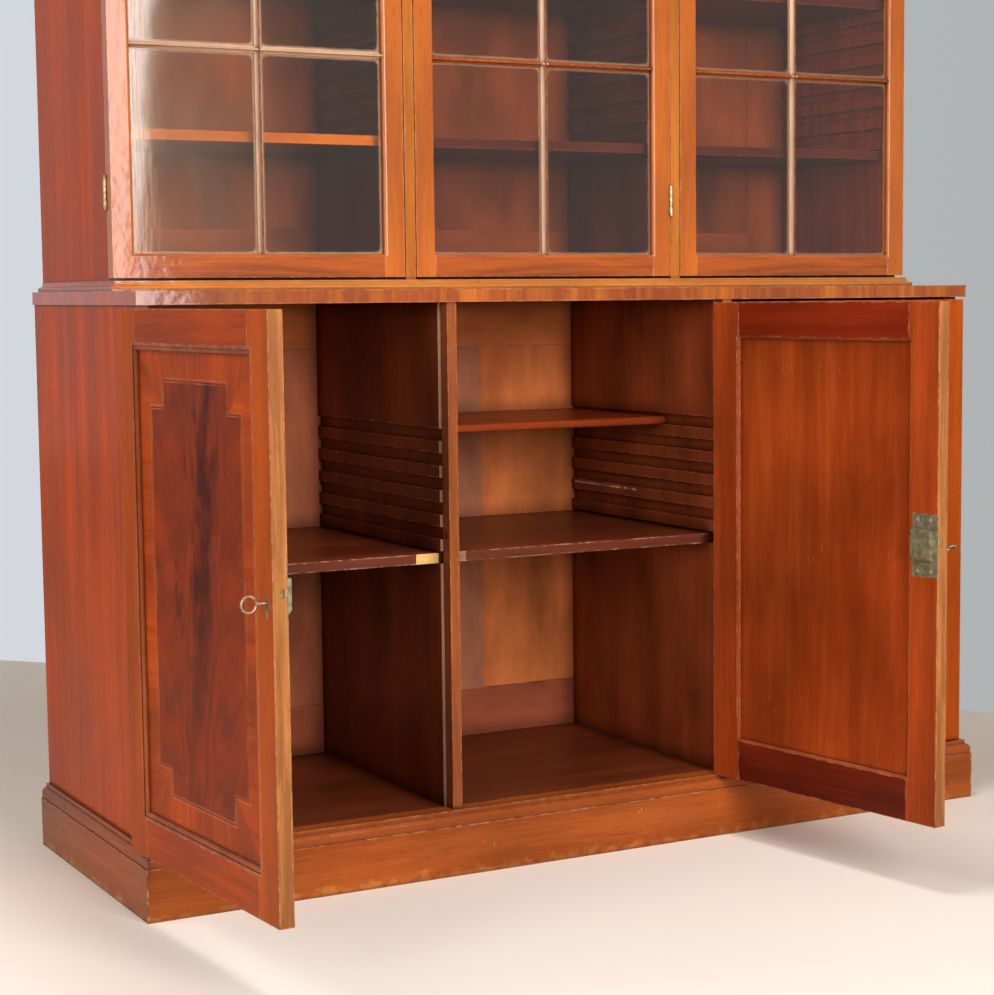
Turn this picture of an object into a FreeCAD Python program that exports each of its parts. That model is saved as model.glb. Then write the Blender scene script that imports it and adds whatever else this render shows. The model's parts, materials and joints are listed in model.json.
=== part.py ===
import FreeCAD, Part
import math
import os

from FreeCAD import Vector

# Mahogany bookcase in two bodies: a panelled lower case on a plinth and a shallower glazed upper case.
# Millimetres. +X to the right, +Y to the back, +Z up. The origin is the middle of the plinth's underside.
# Every door is drawn shut and then swung about its hinge pins to the angle at which it stands.

# Driving dimensions of the plinth
plinth_projection = 14.0  # beyond the sides of the lower case
plinth_depth = 528.0
plinth_height = 78.0
plinth_board = 20.0
plinth_moulding_height = 23.0
plinth_lip_setback = 1.5
plinth_lip_height = 8.0
plinth_cove_depth = 7.0
plinth_fillet = 6.0
bearer_width = 60.0
bearer_spacing = 370.0
glue_block = 40.0
glue_block_height = 70.0

# Driving dimensions of the lower case
lower_width = 1482.0
lower_height = 900.0
lower_top_board = 20.0
lower_top_edging = 12.0
lower_top_overhang = 3.0
lower_door_thickness = 21.0
lower_door_reveal = 17.3  # plinth face to door face
lower_strip = 16.0
lower_first_groove = 480.5
lower_groove_count = 6
lower_shelf_setback = 9.5
half_shelf_depth = 315.0
half_shelf_board = 14.0
half_shelf_rounding = 5.8
lower_bottom_rail_top = 185.0
lower_back_top_rail = 80.0

# Driving dimensions of the upper case
upper_inset = 15.0  # sides of the upper case, in from those of the lower one
upper_depth = 339.0
upper_door_thickness = 22.0
upper_strip = 17.5
upper_floor = 22.0  # above the lower case
upper_first_groove = 224.0  # above the lower case
upper_groove_count = 27
upper_shelf_levels = (0, 7, 14, 21)
upper_shelf_setback = 14.0
upper_back_bottom_rail = 102.0
upper_back_top_rail = 80.0
base_moulding_height = 15.0
base_moulding_projection = 8.5  # beyond the sides
base_moulding_front = 16.5  # beyond the door faces
base_moulding_slope = 7.5
base_moulding_foot = 2.5
base_moulding_fillet = 2.0
cornice_height = 107.0
cornice_projection = 46.0
cornice_seat = 24.0
cornice_fascia = 34.0
cornice_bead = 3.0
cornice_bed_projection = 12.0
cornice_bed_top = 48.0
cornice_soffit_projection = 26.0
cornice_cyma_foot = 62.0
cornice_fillet = 12.0

# Boards, grooves and joints that both cases share
side_board = 24.0
partition_board = 26.0
floor_board = 18.0
shelf_board = 15.5
shelf_end_gap = 0.8
groove_height = 18.9
groove_pitch = 37.7
groove_depth = 5.5
housing_depth = 6.0
back_board = 20.0
back_rebate = 12.0
back_stile = 92.0
back_muntin = 102.0
back_panel = 12.0
back_panel_setback = 0.6
back_tongue = 5.0
back_tongue_depth = 7.0

# Doors
leaf_gap = 0.7  # between the two leaves of a shut hinge, and so behind each door
lock_gap = 1.3
lower_door_foot_gap = 1.0
lower_door_head_gap = 4.5
lower_stile = 48.0
lower_top_rail = 47.0
lower_bottom_rail = 56.0
panel_moulding = 11.0
panel_moulding_bead = 3.4
panel_moulding_quirk = 1.6
panel_moulding_lip = 1.0
panel_recess = 6.5
panel_board = 8.0
panel_edge_gap = 1.0
inner_chamfer = 4.0
upper_door_foot_gap = 4.0
upper_door_head_gap = 3.0
upper_stile = 34.0
upper_rail = 36.0
sight_ovolo = 5.0
glass_recess = 11.0
glass_board = 2.5
glass_rebate = 7.0
glass_edge_gap = 1.0
pane_rows = 4
pane_height = 299.0
bar_width = 11.0
bar_nose = 3.0
bar_fin = 4.0
bar_setback = 1.0
bar_back_setback = 1.0
bar_lip = 2.0
tenon_length = 24.0
tenon_board = 7.0
tenon_shoulder = 8.0
tenon_face_distance = 4.5  # door face to tenon

# Butt hinges
hinge_length = 50.0
knuckle_radius = 2.8
hinge_pin_radius = 1.3
hinge_running_gap = 0.06
knuckle_gap = 0.3
leaf_board = 1.6
leaf_width = 16.0
hinge_outset = 1.6  # axis beyond the side or the door face
hinge_end_distance = 125.0
knuckle_room = 0.5

# Locks, keys and key plates
lower_key_height = 513.0
upper_key_height = 1500.0
lock_rise = 6.5  # lock centre above the key
bolt_rise = 12.0  # bolt centre above the key
bolt_height = 10.0
bolt_board = 5.0
bolt_travel = 7.2  # for one whole turn of the key
bolt_withdrawn = 1.6  # behind the door's edge
bolt_inset = 8.0  # bolt centre in front of the door's back
bolt_gap = 0.3
strike_depth = 6.0
lock_plate = 1.6
lock_letting_in = 12.0
lock_back_wall = 2.0
lock_edge_wall = 2.6  # wood left between the lock and the door's edge
lock_foot_bevel = 6.0
keyhole_radius = 3.2
keyhole_slot = 3.2
key_shank_radius = 2.4
key_bow_radius = 10.2
key_wire_radius = 1.7
key_bow_distance = 24.5
key_collar_radius = 3.6
key_collar_length = 3.0
key_bit_board = 2.4
key_bit_width = 6.0
bit_gap = 0.6
plate_radius = 5.2
plate_board = 1.5
plate_drop = 16.0
plate_foot_radius = 3.7

lower_lock = {"plate_width": 49.0, "plate_height": 92.0, "case_width": 46.0, "case_height": 46.0,
              "box_start": 8.0, "box_rise": 9.0, "backset": 17.0, "bit_radius": 8.0,
              "bolt_length": 28.0}
upper_lock = {"plate_width": 26.0, "plate_height": 70.0, "case_width": 24.0, "case_height": 40.0,
              "box_start": 7.0, "box_rise": 6.0, "backset": 13.0, "bit_radius": 6.4,
              "bolt_length": 20.0}

# Room left by cutters: how far they run past the wood, and the slack of housings and panels
cutter_overrun = 5.0
mitre_overrun = 200.0
opening_overrun = 60.0
trim_reach = 4000.0
edge_margin = 1.0
hinge_slack = 0.1
lock_slack = 0.1
key_plate_slack = 0.05
back_panel_slack = 0.5

# How the doors and keys stand
left_door_angle = 86.2
middle_door_angle = 99.0
middle_key_angle = 66.0

# Levels and planes worked out from these
plinth_width = lower_width + 2 * plinth_projection
upper_width = lower_width - 2 * upper_inset
floor_level = plinth_height + plinth_moulding_height
plinth_front = -plinth_depth / 2
back_plane = plinth_depth / 2
back_face = back_plane - back_board
lower_door_front = plinth_front + lower_door_reveal
lower_front = lower_door_front + lower_door_thickness + leaf_gap
lower_head = lower_height - lower_top_board
upper_front = back_plane - upper_depth
upper_door_front = upper_front - leaf_gap - upper_door_thickness
upper_floor_level = lower_height + upper_floor
upper_door_foot = lower_height + base_moulding_height + upper_door_foot_gap
upper_door_height = 2 * upper_rail + pane_rows * pane_height + (pane_rows - 1) * bar_width
upper_head = upper_door_foot + upper_door_height + upper_door_head_gap
lower_half = lower_width / 2
upper_half = upper_width / 2


def box(x0, x1, y0, y1, z0, z1):
    low = Vector(min(x0, x1), min(y0, y1), min(z0, z1))
    return Part.makeBox(abs(x1 - x0), abs(y1 - y0), abs(z1 - z0), low)


def rod(x, y, z, radius, length, direction=Vector(0, 0, 1)):
    return Part.makeCylinder(radius, length, Vector(x, y, z), direction)


def trim(shape, point, beyond):
    """Cuts away what lies past a plane through the point, on the side that the direction points to."""
    reach = trim_reach
    block = Part.makeBox(reach, reach, reach, Vector(-reach / 2, -reach / 2, 0))
    block.Placement = FreeCAD.Placement(point, FreeCAD.Rotation(Vector(0, 0, 1), beyond))
    return shape.cut(block)


def section_face(edges):
    return Part.Face(Part.Wire(Part.__sortEdges__(edges)))


def run(section, place, length):
    """Extrudes a section drawn in (out, up) along a straight run."""
    start, out, up, along = place
    matrix = FreeCAD.Matrix(out.x, up.x, along.x, start.x,
                            out.y, up.y, along.y, start.y,
                            out.z, up.z, along.z, start.z, 0, 0, 0, 1)
    return section.extrude(Vector(0, 0, length)).transformGeometry(matrix)


def line(a, b):
    return Part.LineSegment(Vector(a[0], a[1], 0), Vector(b[0], b[1], 0)).toShape()


def arc(a, middle, b):
    return Part.Arc(Vector(a[0], a[1], 0), Vector(middle[0], middle[1], 0), Vector(b[0], b[1], 0)).toShape()


def chain(points):
    """Closed outline of straight edges and arcs; a third entry in a point bulges the edge that ends there."""
    edges = []
    for start, end in zip(points, points[1:] + points[:1]):
        bulge = end[2] if len(end) > 2 else 0.0
        if bulge:
            dx, dy = end[0] - start[0], end[1] - start[1]
            middle = ((start[0] + end[0]) / 2 - dy * bulge, (start[1] + end[1]) / 2 + dx * bulge)
            edges.append(arc(start, middle, end))
        else:
            edges.append(line(start, end))
    return section_face(edges)


def wrap_three_sides(section, half_width, front, back, level):
    """Mitred left, front and right lengths of a moulding drawn in (outward, up) from the given planes."""
    overrun = mitre_overrun
    left_long = run(section, (Vector(-half_width, front - overrun, level), Vector(-1, 0, 0),
                              Vector(0, 0, 1), Vector(0, 1, 0)), back - front + overrun)
    front_long = run(section, (Vector(-half_width - overrun, front, level), Vector(0, -1, 0),
                               Vector(0, 0, 1), Vector(1, 0, 0)), 2 * (half_width + overrun))
    left_corner = Vector(-half_width, front, level)
    right_corner = Vector(half_width, front, level)
    left = trim(left_long, left_corner, Vector(1, -1, 0))
    middle = trim(front_long, left_corner, Vector(-1, 1, 0))
    middle = trim(middle, right_corner, Vector(1, 1, 0))
    right = left.mirror(Vector(0, 0, 0), Vector(1, 0, 0))
    return [left, middle, right]


def wrap_opening(section, x0, x1, y, z0, z1):
    """Four mitred lengths of a moulding round an opening, drawn in (towards the opening, forward)."""
    overrun = opening_overrun
    forward = Vector(0, -1, 0)
    wide, tall = x1 - x0 + 2 * overrun, z1 - z0 + 2 * overrun
    corners = [Vector(x0, y, z0), Vector(x1, y, z0), Vector(x1, y, z1), Vector(x0, y, z1)]
    runs = [((Vector(x0 - overrun, y, z0), Vector(0, 0, 1), forward, Vector(1, 0, 0)), wide),
            ((Vector(x1, y, z0 - overrun), Vector(-1, 0, 0), forward, Vector(0, 0, 1)), tall),
            ((Vector(x1 + overrun, y, z1), Vector(0, 0, -1), forward, Vector(-1, 0, 0)), wide),
            ((Vector(x0, y, z1 + overrun), Vector(1, 0, 0), forward, Vector(0, 0, -1)), tall)]
    lengths = []
    for index, (place, length) in enumerate(runs):
        along, inward = place[3], place[1]
        piece = run(section, place, length)
        piece = trim(piece, corners[index], inward - along)
        piece = trim(piece, corners[(index + 1) % 4], inward + along)
        lengths.append(piece)
    return lengths


def swing(shape, pivot, degrees):
    turned = shape.copy()
    turned.rotate(Vector(pivot[0], pivot[1], 0), Vector(0, 0, 1), degrees)
    return turned


def save(node, solids):
    solids = solids if isinstance(solids, list) else [solids]
    plain = []
    for solid in solids:
        plain.extend(solid.Solids)
    shape = plain[0] if len(plain) == 1 else Part.makeCompound(plain)
    shape.exportStep(os.path.join("parts", node + ".step"))


# Where the doors come, and how each is hung


def door_width(case_width, strip):
    return (case_width - 2 * strip - 3 * lock_gap - leaf_gap) / 3


def strip_centre(case_width, strip):
    return case_width / 2 - door_width(case_width, strip) - lock_gap - strip / 2


def describe_doors(case_width, strip, front, thickness, foot, head, key_height, lock, levels):
    """Left and right doors lie over the sides; the middle one stands between the two strips."""
    half, width = case_width / 2, door_width(case_width, strip)
    centre = strip_centre(case_width, strip)
    case_front = front + thickness + leaf_gap
    common = {"front": front, "back": front + thickness, "foot": foot, "head": head, "lock": lock,
              "key_height": key_height, "hinge_levels": levels}
    side_axis = case_front - leaf_gap / 2
    middle_right = centre - strip / 2 - leaf_gap
    return {
        "left": dict(common, x0=-half, x1=-half + width, lock_side=1, opens=-1,
                     pivot=(-half - hinge_outset, side_axis), hang="left"),
        "middle": dict(common, x0=middle_right - width, x1=middle_right, lock_side=-1, opens=1,
                       pivot=(middle_right + leaf_gap / 2, front - hinge_outset), hang="middle"),
        "right": dict(common, x0=half - width, x1=half, lock_side=-1, opens=1,
                      pivot=(half + hinge_outset, side_axis), hang="right")}


lower_foot = floor_level + lower_door_foot_gap
lower_door_head = lower_head - lower_door_head_gap
upper_door_head = upper_door_foot + upper_door_height
lower_levels = [lower_foot + hinge_end_distance, lower_door_head - hinge_end_distance]
upper_levels = [upper_door_foot + hinge_end_distance, (upper_door_foot + upper_door_head) / 2,
                upper_door_head - hinge_end_distance]
lower_doors = describe_doors(lower_width, lower_strip, lower_door_front, lower_door_thickness,
                             lower_foot, lower_door_head, lower_key_height, lower_lock, lower_levels)
upper_doors = describe_doors(upper_width, upper_strip, upper_door_front, upper_door_thickness,
                             upper_door_foot, upper_door_head, upper_key_height, upper_lock, upper_levels)
stands_open = {"lower_left": left_door_angle, "lower_middle": middle_door_angle}


def at_rest(name, door, shape):
    return swing(shape, door["pivot"], door["opens"] * stands_open.get(name, 0.0))


# Hinges: leaves along +X from the axis, fixed leaf on the +Y side, moving leaf on the -Y side


def hinge_leaves():
    third = hinge_length / 3
    outer = leaf_gap / 2 + leaf_board
    clear = knuckle_radius + knuckle_gap
    fixed = box(0, leaf_width, leaf_gap / 2, outer, -hinge_length / 2, hinge_length / 2)
    fixed = fixed.cut(rod(0, 0, -third / 2, clear, third))
    moving = box(0, leaf_width, -outer, -leaf_gap / 2, -hinge_length / 2, hinge_length / 2)
    knuckle = third - knuckle_gap
    for foot in (-hinge_length / 2, hinge_length / 2 - knuckle):
        fixed = fixed.fuse(rod(0, 0, foot, knuckle_radius, knuckle))
        moving = moving.cut(rod(0, 0, foot, clear, knuckle + knuckle_gap))
    moving = moving.cut(rod(0, 0, -hinge_length / 2, clear, third))
    moving = moving.cut(rod(0, 0, third / 2, clear, third))
    middle = rod(0, 0, -third / 2 + knuckle_gap / 2, knuckle_radius, knuckle)
    moving = moving.fuse(middle)
    pin = rod(0, 0, -hinge_length / 2, hinge_pin_radius, hinge_length)
    fixed = fixed.fuse(pin)
    moving = moving.cut(rod(0, 0, -hinge_length / 2, hinge_pin_radius + hinge_running_gap, hinge_length))
    return fixed.removeSplitter(), moving.removeSplitter()


def hinge_room():
    """Wood that makes way for the knuckle and for the two let-in leaves."""
    slack = hinge_slack
    half = hinge_length / 2 + slack
    deep = leaf_gap / 2 + leaf_board + slack / 2
    room = rod(0, 0, -half - knuckle_gap, knuckle_radius + knuckle_room, 2 * (half + knuckle_gap))
    leaves = box(0, leaf_width + slack, -deep, deep, -half, half)
    return room.fuse(leaves)


def hang(shape, door, level):
    """Places a shape drawn about the hinge axis at one of the door's hinges."""
    placed = shape.copy()
    if door["hang"] == "right":
        placed.rotate(Vector(0, 0, 0), Vector(0, 1, 0), 180)
    if door["hang"] == "middle":
        placed.rotate(Vector(0, 0, 0), Vector(1, 0, 0), 180)
        placed.rotate(Vector(0, 0, 0), Vector(0, 0, 1), 90)
    placed.translate(Vector(door["pivot"][0], door["pivot"][1], level))
    return placed


def make_room_for_hinges(wood, doors):
    room = hinge_room()
    for door in doors:
        for level in door["hinge_levels"]:
            wood = wood.cut(hang(room, door, level))
    return wood


# Locks


def keyed(door, offset, depth, rise):
    """A point beside the key axis: offset towards the lock edge, depth behind the door's face."""
    edge = door["x1"] if door["lock_side"] > 0 else door["x0"]
    x = edge - door["lock_side"] * (door["lock"]["backset"] - offset)
    return Vector(x, door["front"] + depth, door["key_height"] + rise)


def keyhole(door, reach):
    start = keyed(door, 0, -cutter_overrun, 0)
    drop = door["lock"]["bit_radius"] + bit_gap
    hole = rod(start.x, start.y, start.z, keyhole_radius, reach + cutter_overrun, Vector(0, 1, 0))
    half = keyhole_slot / 2
    slot = box(start.x - half, start.x + half, start.y, start.y + reach + cutter_overrun,
               start.z - drop, start.z)
    return hole.fuse(slot)


def lock_block(door, start, width, depth, rise, height, slack=0.0):
    """Block of the lock, measured from the door's edge, its back face and the lock's centre."""
    backset, back = door["lock"]["backset"], door["back"] - door["front"]
    low = keyed(door, backset - start - width - slack, back - depth - slack, lock_rise - height / 2 - slack)
    high = keyed(door, backset - start, back + rise, lock_rise + height / 2 + slack)
    return box(low.x, high.x, low.y, high.y, low.z, high.z)


def lock_outline(door, slack):
    """The let-in body of the lock and its flush plate, as they are housed in the stile."""
    lock = door["lock"]
    body = lock_block(door, lock_edge_wall, lock["case_width"] - lock_edge_wall, lock_letting_in, 0,
                      lock["case_height"], slack)
    return body.fuse(lock_block(door, 0, lock["plate_width"], lock_plate, 0, lock["plate_height"], slack))


def bolt_channel(door, extra, start, length):
    thickness = door["back"] - door["front"]
    backset = door["lock"]["backset"]
    low = keyed(door, backset - start - length, thickness - bolt_inset - bolt_board / 2 - extra,
                bolt_rise - bolt_height / 2 - extra)
    high = keyed(door, backset - start, thickness - bolt_inset + bolt_board / 2 + extra,
                 bolt_rise + bolt_height / 2 + extra)
    return box(low.x, high.x, low.y, high.y, low.z, high.z)


def make_lock(door):
    lock, thickness = door["lock"], door["back"] - door["front"]
    raised_width = lock["case_width"] - lock["box_start"]
    raised = lock_block(door, lock["box_start"], raised_width, lock_plate, lock["box_rise"],
                        lock["case_height"])
    foot = keyed(door, 0, thickness + lock["box_rise"], lock_rise - lock["case_height"] / 2 + lock_foot_bevel)
    raised = trim(raised, foot, Vector(0, 1, -1))
    body = lock_outline(door, 0).fuse(raised)
    cavity_start = thickness - lock_letting_in + lock_back_wall
    start = keyed(door, 0, cavity_start, 0)
    body = body.cut(rod(start.x, start.y, start.z, lock["bit_radius"] + bit_gap,
                        key_bit_width + 2 * bit_gap, Vector(0, 1, 0)))
    body = body.cut(keyhole(door, cavity_start + bit_gap))
    channel = lock["bolt_length"] + bolt_withdrawn + bolt_gap
    body = body.cut(bolt_channel(door, bolt_gap, -cutter_overrun, channel + cutter_overrun))
    return body.removeSplitter()


def make_bolt(door, key_angle):
    """Bolt in the lock, hollowed underneath so that the key's bit can go round."""
    travelled = bolt_travel * key_angle / 360
    bolt = bolt_channel(door, 0, bolt_withdrawn - travelled, door["lock"]["bolt_length"])
    reach = door["lock"]["bit_radius"] + bit_gap
    first, last = keyed(door, travelled - bolt_travel, 0, 0), keyed(door, travelled, 0, 0)
    depth = door["back"] - door["front"]
    for centre in (first, last):
        bolt = bolt.cut(rod(centre.x, centre.y, centre.z, reach, depth, Vector(0, 1, 0)))
    return bolt.cut(box(first.x, last.x, first.y, first.y + depth, first.z, first.z + reach))


def plate_outline(door, extra, board):
    top = keyed(door, 0, 0, 0)
    radius = plate_radius + extra
    foot = plate_foot_radius + extra
    outline = rod(top.x, top.y, top.z, radius, board, Vector(0, 1, 0))
    outline = outline.fuse(rod(top.x, top.y, top.z - plate_drop, foot, board, Vector(0, 1, 0)))
    stem = box(top.x - foot, top.x + foot, top.y, top.y + board, top.z - plate_drop, top.z)
    return outline.fuse(stem)


def make_key(door):
    """Key in its hole: bow upright, bit hanging down in the lock."""
    lock, thickness = door["lock"], door["back"] - door["front"]
    end = thickness - lock_letting_in + lock_back_wall + bit_gap + key_bit_width
    bow_foot = key_bow_distance - key_bow_radius
    foot = keyed(door, 0, -bow_foot, 0)
    shank = rod(foot.x, foot.y, foot.z, key_shank_radius, end + bow_foot, Vector(0, 1, 0))
    collar = rod(foot.x, foot.y + key_wire_radius, foot.z, key_collar_radius, key_collar_length,
                 Vector(0, 1, 0))
    centre = keyed(door, 0, -key_bow_distance, 0)
    bow = Part.makeTorus(key_bow_radius, key_wire_radius, centre, Vector(1, 0, 0))
    bit_start = keyed(door, 0, end - key_bit_width, 0)
    half = key_bit_board / 2
    bit = box(bit_start.x - half, bit_start.x + half, bit_start.y, bit_start.y + key_bit_width,
              bit_start.z - lock["bit_radius"], bit_start.z)
    return shank.fuse([collar, bow, bit]).removeSplitter()


def strike(door):
    """Hole in the strip that the bolt shoots into."""
    return bolt_channel(door, bolt_gap, -lock_gap - strike_depth, strike_depth + lock_gap)


# Door frames


def split_frame(ring, door, stile, bottom, top, rebate):
    """Cuts a ring into two stiles and two rails, tenoned together clear of the rebate."""
    x0, x1, foot, head = door["x0"], door["x1"], door["foot"], door["head"]
    y0, y1 = door["front"] - cutter_overrun, door["back"] + cutter_overrun
    tenon_y = door["front"] + tenon_face_distance
    rails = []
    mortises = []
    for low, high, tenon_low, tenon_high in (
            (foot, foot + bottom, foot + tenon_shoulder, foot + bottom - rebate),
            (head - top, head, head - top + rebate, head - tenon_shoulder)):
        rail = ring.common(box(x0 + stile, x1 - stile, y0, y1, low, high))
        for start, end in ((x0 + stile - tenon_length, x0 + stile), (x1 - stile, x1 - stile + tenon_length)):
            tenon = box(start, end, tenon_y, tenon_y + tenon_board, tenon_low, tenon_high)
            mortises.append(tenon)
            rail = rail.fuse(tenon)
        rails.append(rail.removeSplitter())
    stiles = []
    for start, end in ((x0, x0 + stile), (x1 - stile, x1)):
        piece = ring.common(box(start, end, y0, y1, foot, head))
        for mortise in mortises:
            piece = piece.cut(mortise)
        stiles.append(piece)
    return stiles, rails


def fit_lock_and_hinges(stiles, door):
    room = hinge_room()
    fitted = []
    for stile in stiles:
        stile = stile.cut(lock_outline(door, lock_slack))
        stile = stile.cut(keyhole(door, door["back"] - door["front"]))
        stile = stile.cut(plate_outline(door, key_plate_slack, plate_board))
        stile = stile.cut(bolt_channel(door, bolt_gap, -cutter_overrun, lock_edge_wall + cutter_overrun))
        for level in door["hinge_levels"]:
            stile = stile.cut(hang(room, door, level))
        fitted.append(stile)
    return fitted


def edges_on(shape, y, x_range, z_range):
    """Straight edges of an opening that lie in the plane at y, inside the given limits."""
    chosen = []
    for edge in shape.Edges:
        ends = [v.Point for v in edge.Vertexes]
        if len(ends) != 2 or any(abs(p.y - y) > 0.01 for p in ends):
            continue
        if all(x_range[0] < p.x < x_range[1] and z_range[0] < p.z < z_range[1] for p in ends):
            chosen.append(edge)
    return chosen


def panelled_frame(door):
    x0, x1, y0, y1 = door["x0"], door["x1"], door["front"], door["back"]
    foot, head = door["foot"], door["head"]
    stile, bottom, top = lower_stile, lower_bottom_rail, lower_top_rail
    wide = panel_moulding
    ring = box(x0, x1, y0, y1, foot, head)
    before, behind = y0 - cutter_overrun, y1 + cutter_overrun
    ring = ring.cut(box(x0 + stile + wide, x1 - stile - wide, before, behind,
                        foot + bottom + wide, head - top - wide))
    inside = edge_margin
    back_edges = edges_on(ring, y1, (x0 + inside, x1 - inside), (foot + inside, head - inside))
    ring = ring.makeChamfer(inner_chamfer, back_edges)
    shelf_depth = panel_recess + panel_board
    ring = ring.cut(box(x0 + stile, x1 - stile, before, y0 + shelf_depth, foot + bottom, head - top))
    stiles, rails = split_frame(ring, door, stile + wide, bottom + wide, top + wide, wide)
    return fit_lock_and_hinges(stiles, door) + rails


def panel_moulding_section():
    """Flat bead at the frame, a quirk, a hollow and a thin lip on the panel; drawn from the frame inwards."""
    wide, deep, lip = panel_moulding, panel_recess, panel_moulding_lip
    bead, quirk = panel_moulding_bead, panel_moulding_quirk
    return chain([(0, -deep), (0, 0), (bead, 0), (bead, -quirk), (wide - lip, -deep + 2 * lip, 0.24),
                  (wide - lip, -deep + lip), (wide, -deep + lip), (wide, -deep)])


def glazed_ring(door):
    x0, x1, y0, y1 = door["x0"], door["x1"], door["front"], door["back"]
    foot, head = door["foot"], door["head"]
    ring = box(x0, x1, y0, y1, foot, head)
    before, behind = y0 - cutter_overrun, y1 + cutter_overrun
    ring = ring.cut(box(x0 + upper_stile, x1 - upper_stile, before, behind,
                        foot + upper_rail, head - upper_rail))
    inside = edge_margin
    front_edges = edges_on(ring, y0, (x0 + inside, x1 - inside), (foot + inside, head - inside))
    ring = ring.makeFillet(sight_ovolo, front_edges)
    wide = glass_rebate
    return ring.cut(box(x0 + upper_stile - wide, x1 - upper_stile + wide, y0 + glass_recess, behind,
                        foot + upper_rail - wide, head - upper_rail + wide))


def bar_section(depth):
    """Glazing bar: rounded nose, two shoulders for the glass and a fin behind, drawn in (across, forward)."""
    half, nose, fin = bar_width / 2, bar_nose / 2, bar_fin / 2
    shoulder = depth - glass_recess
    face = depth - bar_setback
    curve_foot = shoulder + bar_lip
    return chain([(-fin, 0), (-fin, shoulder), (-half, shoulder), (-half, curve_foot),
                  (-nose, face, -0.18), (nose, face), (half, curve_foot, -0.18), (half, shoulder),
                  (fin, shoulder), (fin, 0)])


def bar_levels(door):
    levels = []
    for row in range(1, pane_rows):
        levels.append(door["foot"] + upper_rail + row * (pane_height + bar_width) - bar_width / 2)
    return levels


def glazing_bars(door, ring):
    """One upright bar and the short cross bars scribed to it, all coped to the frame's moulding."""
    base = door["back"] - bar_back_setback
    depth = base - door["front"]
    middle = (door["x0"] + door["x1"]) / 2
    section = bar_section(depth)
    reach = glass_rebate
    foot, head = door["foot"] + upper_rail - reach, door["head"] - upper_rail + reach
    upright = run(section, (Vector(middle, base, foot), Vector(1, 0, 0), Vector(0, -1, 0), Vector(0, 0, 1)),
                  head - foot)
    bars = [upright.cut(ring)]
    x0, x1 = door["x0"] + upper_stile - reach, door["x1"] - upper_stile + reach
    for level in bar_levels(door):
        cross = run(section, (Vector(x0, base, level), Vector(0, 0, 1), Vector(0, -1, 0), Vector(1, 0, 0)),
                    x1 - x0)
        bars.append(cross.cut(ring).cut(upright))
    return bars


def glass_panes(door):
    y0 = door["front"] + glass_recess
    middle = (door["x0"] + door["x1"]) / 2
    fin = bar_fin / 2 + glass_edge_gap / 2
    inset = glass_rebate - glass_edge_gap
    left, right = door["x0"] + upper_stile - inset, door["x1"] - upper_stile + inset
    lines = [door["foot"] + upper_rail - inset] + bar_levels(door) + [door["head"] - upper_rail + inset]
    panes = []
    for x0, x1 in ((left, middle - fin), (middle + fin, right)):
        for row in range(pane_rows):
            z0 = lines[row] + (fin if row else 0)
            z1 = lines[row + 1] - (fin if row < pane_rows - 1 else 0)
            panes.append(box(x0, x1, y0, y0 + glass_board, z0, z1))
    return panes


# Carcase boards


def grooves(face_x, direction, y0, y1, first, count):
    """Cutters for the shelf grooves in a face; direction points into the wood."""
    cutters = []
    for index in range(count):
        low = first + index * groove_pitch
        cutters.append(box(face_x, face_x + direction * groove_depth, y0, y1, low, low + groove_height))
    return cutters


def shelf_span(inner_left, inner_right):
    reach = groove_depth - shelf_end_gap
    return inner_left - reach, inner_right + reach


def framed_back(half_width, foot, head, bottom_top, top_bottom):
    """Two stiles, two rails and a middle muntin round two flush panels tongued into them."""
    outer = half_width - side_board + back_rebate
    y0, y1 = back_face, back_plane
    groove_y0 = y0 + back_panel_setback + (back_panel - back_tongue) / 2
    inner = outer - back_stile
    centre = back_muntin / 2
    members = [box(-outer, -inner, y0, y1, foot, head), box(inner, outer, y0, y1, foot, head),
               box(-inner, inner, y0, y1, foot, bottom_top), box(-inner, inner, y0, y1, top_bottom, head),
               box(-centre, centre, y0, y1, bottom_top, top_bottom)]
    slack = back_panel_slack
    panels = []
    for x0, x1 in ((-inner, -centre), (centre, inner)):
        deep = back_tongue_depth
        groove = box(x0 - deep, x1 + deep, groove_y0, groove_y0 + back_tongue, bottom_top - deep,
                     top_bottom + deep)
        members = [member.cut(groove) for member in members]
        field = box(x0 + slack, x1 - slack, y0 + back_panel_setback, y0 + back_panel_setback + back_panel,
                    bottom_top + slack, top_bottom - slack)
        tongue = box(x0 - deep + slack, x1 + deep - slack, groove_y0, groove_y0 + back_tongue,
                     bottom_top - deep + slack, top_bottom + deep - slack)
        panels.append(field.fuse(tongue).removeSplitter())
    return members, panels


def side_boards(half_width, front, foot, head, floor_top, first, count, doors, top_board=0.0):
    """Right and left sides: grooved for shelves, housed for the floor and rebated for the back."""
    inner = half_width - side_board
    side = box(inner, half_width, front, back_plane, foot, head)
    side = side.cut(box(inner, inner + back_rebate, back_face, back_plane, foot, head))
    for cutter in grooves(inner, 1, front, back_face, first, count):
        side = side.cut(cutter)
    side = side.cut(box(inner, inner + housing_depth, front, back_face, floor_top - floor_board, floor_top))
    if top_board:
        side = side.cut(box(inner, inner + housing_depth, front, back_face, head - top_board, head))
    mirrored = side.mirror(Vector(0, 0, 0), Vector(1, 0, 0))
    return [make_room_for_hinges(mirrored, [doors["left"]]), make_room_for_hinges(side, [doors["right"]])]


def partitions(centre, front, foot, head, first, count):
    half = partition_board / 2
    board = box(centre - half, centre + half, front, back_face, foot, head)
    for face, direction in ((centre - half, 1), (centre + half, -1)):
        for cutter in grooves(face, direction, front, back_face, first, count):
            board = board.cut(cutter)
    return [board.mirror(Vector(0, 0, 0), Vector(1, 0, 0)), board]


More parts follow.
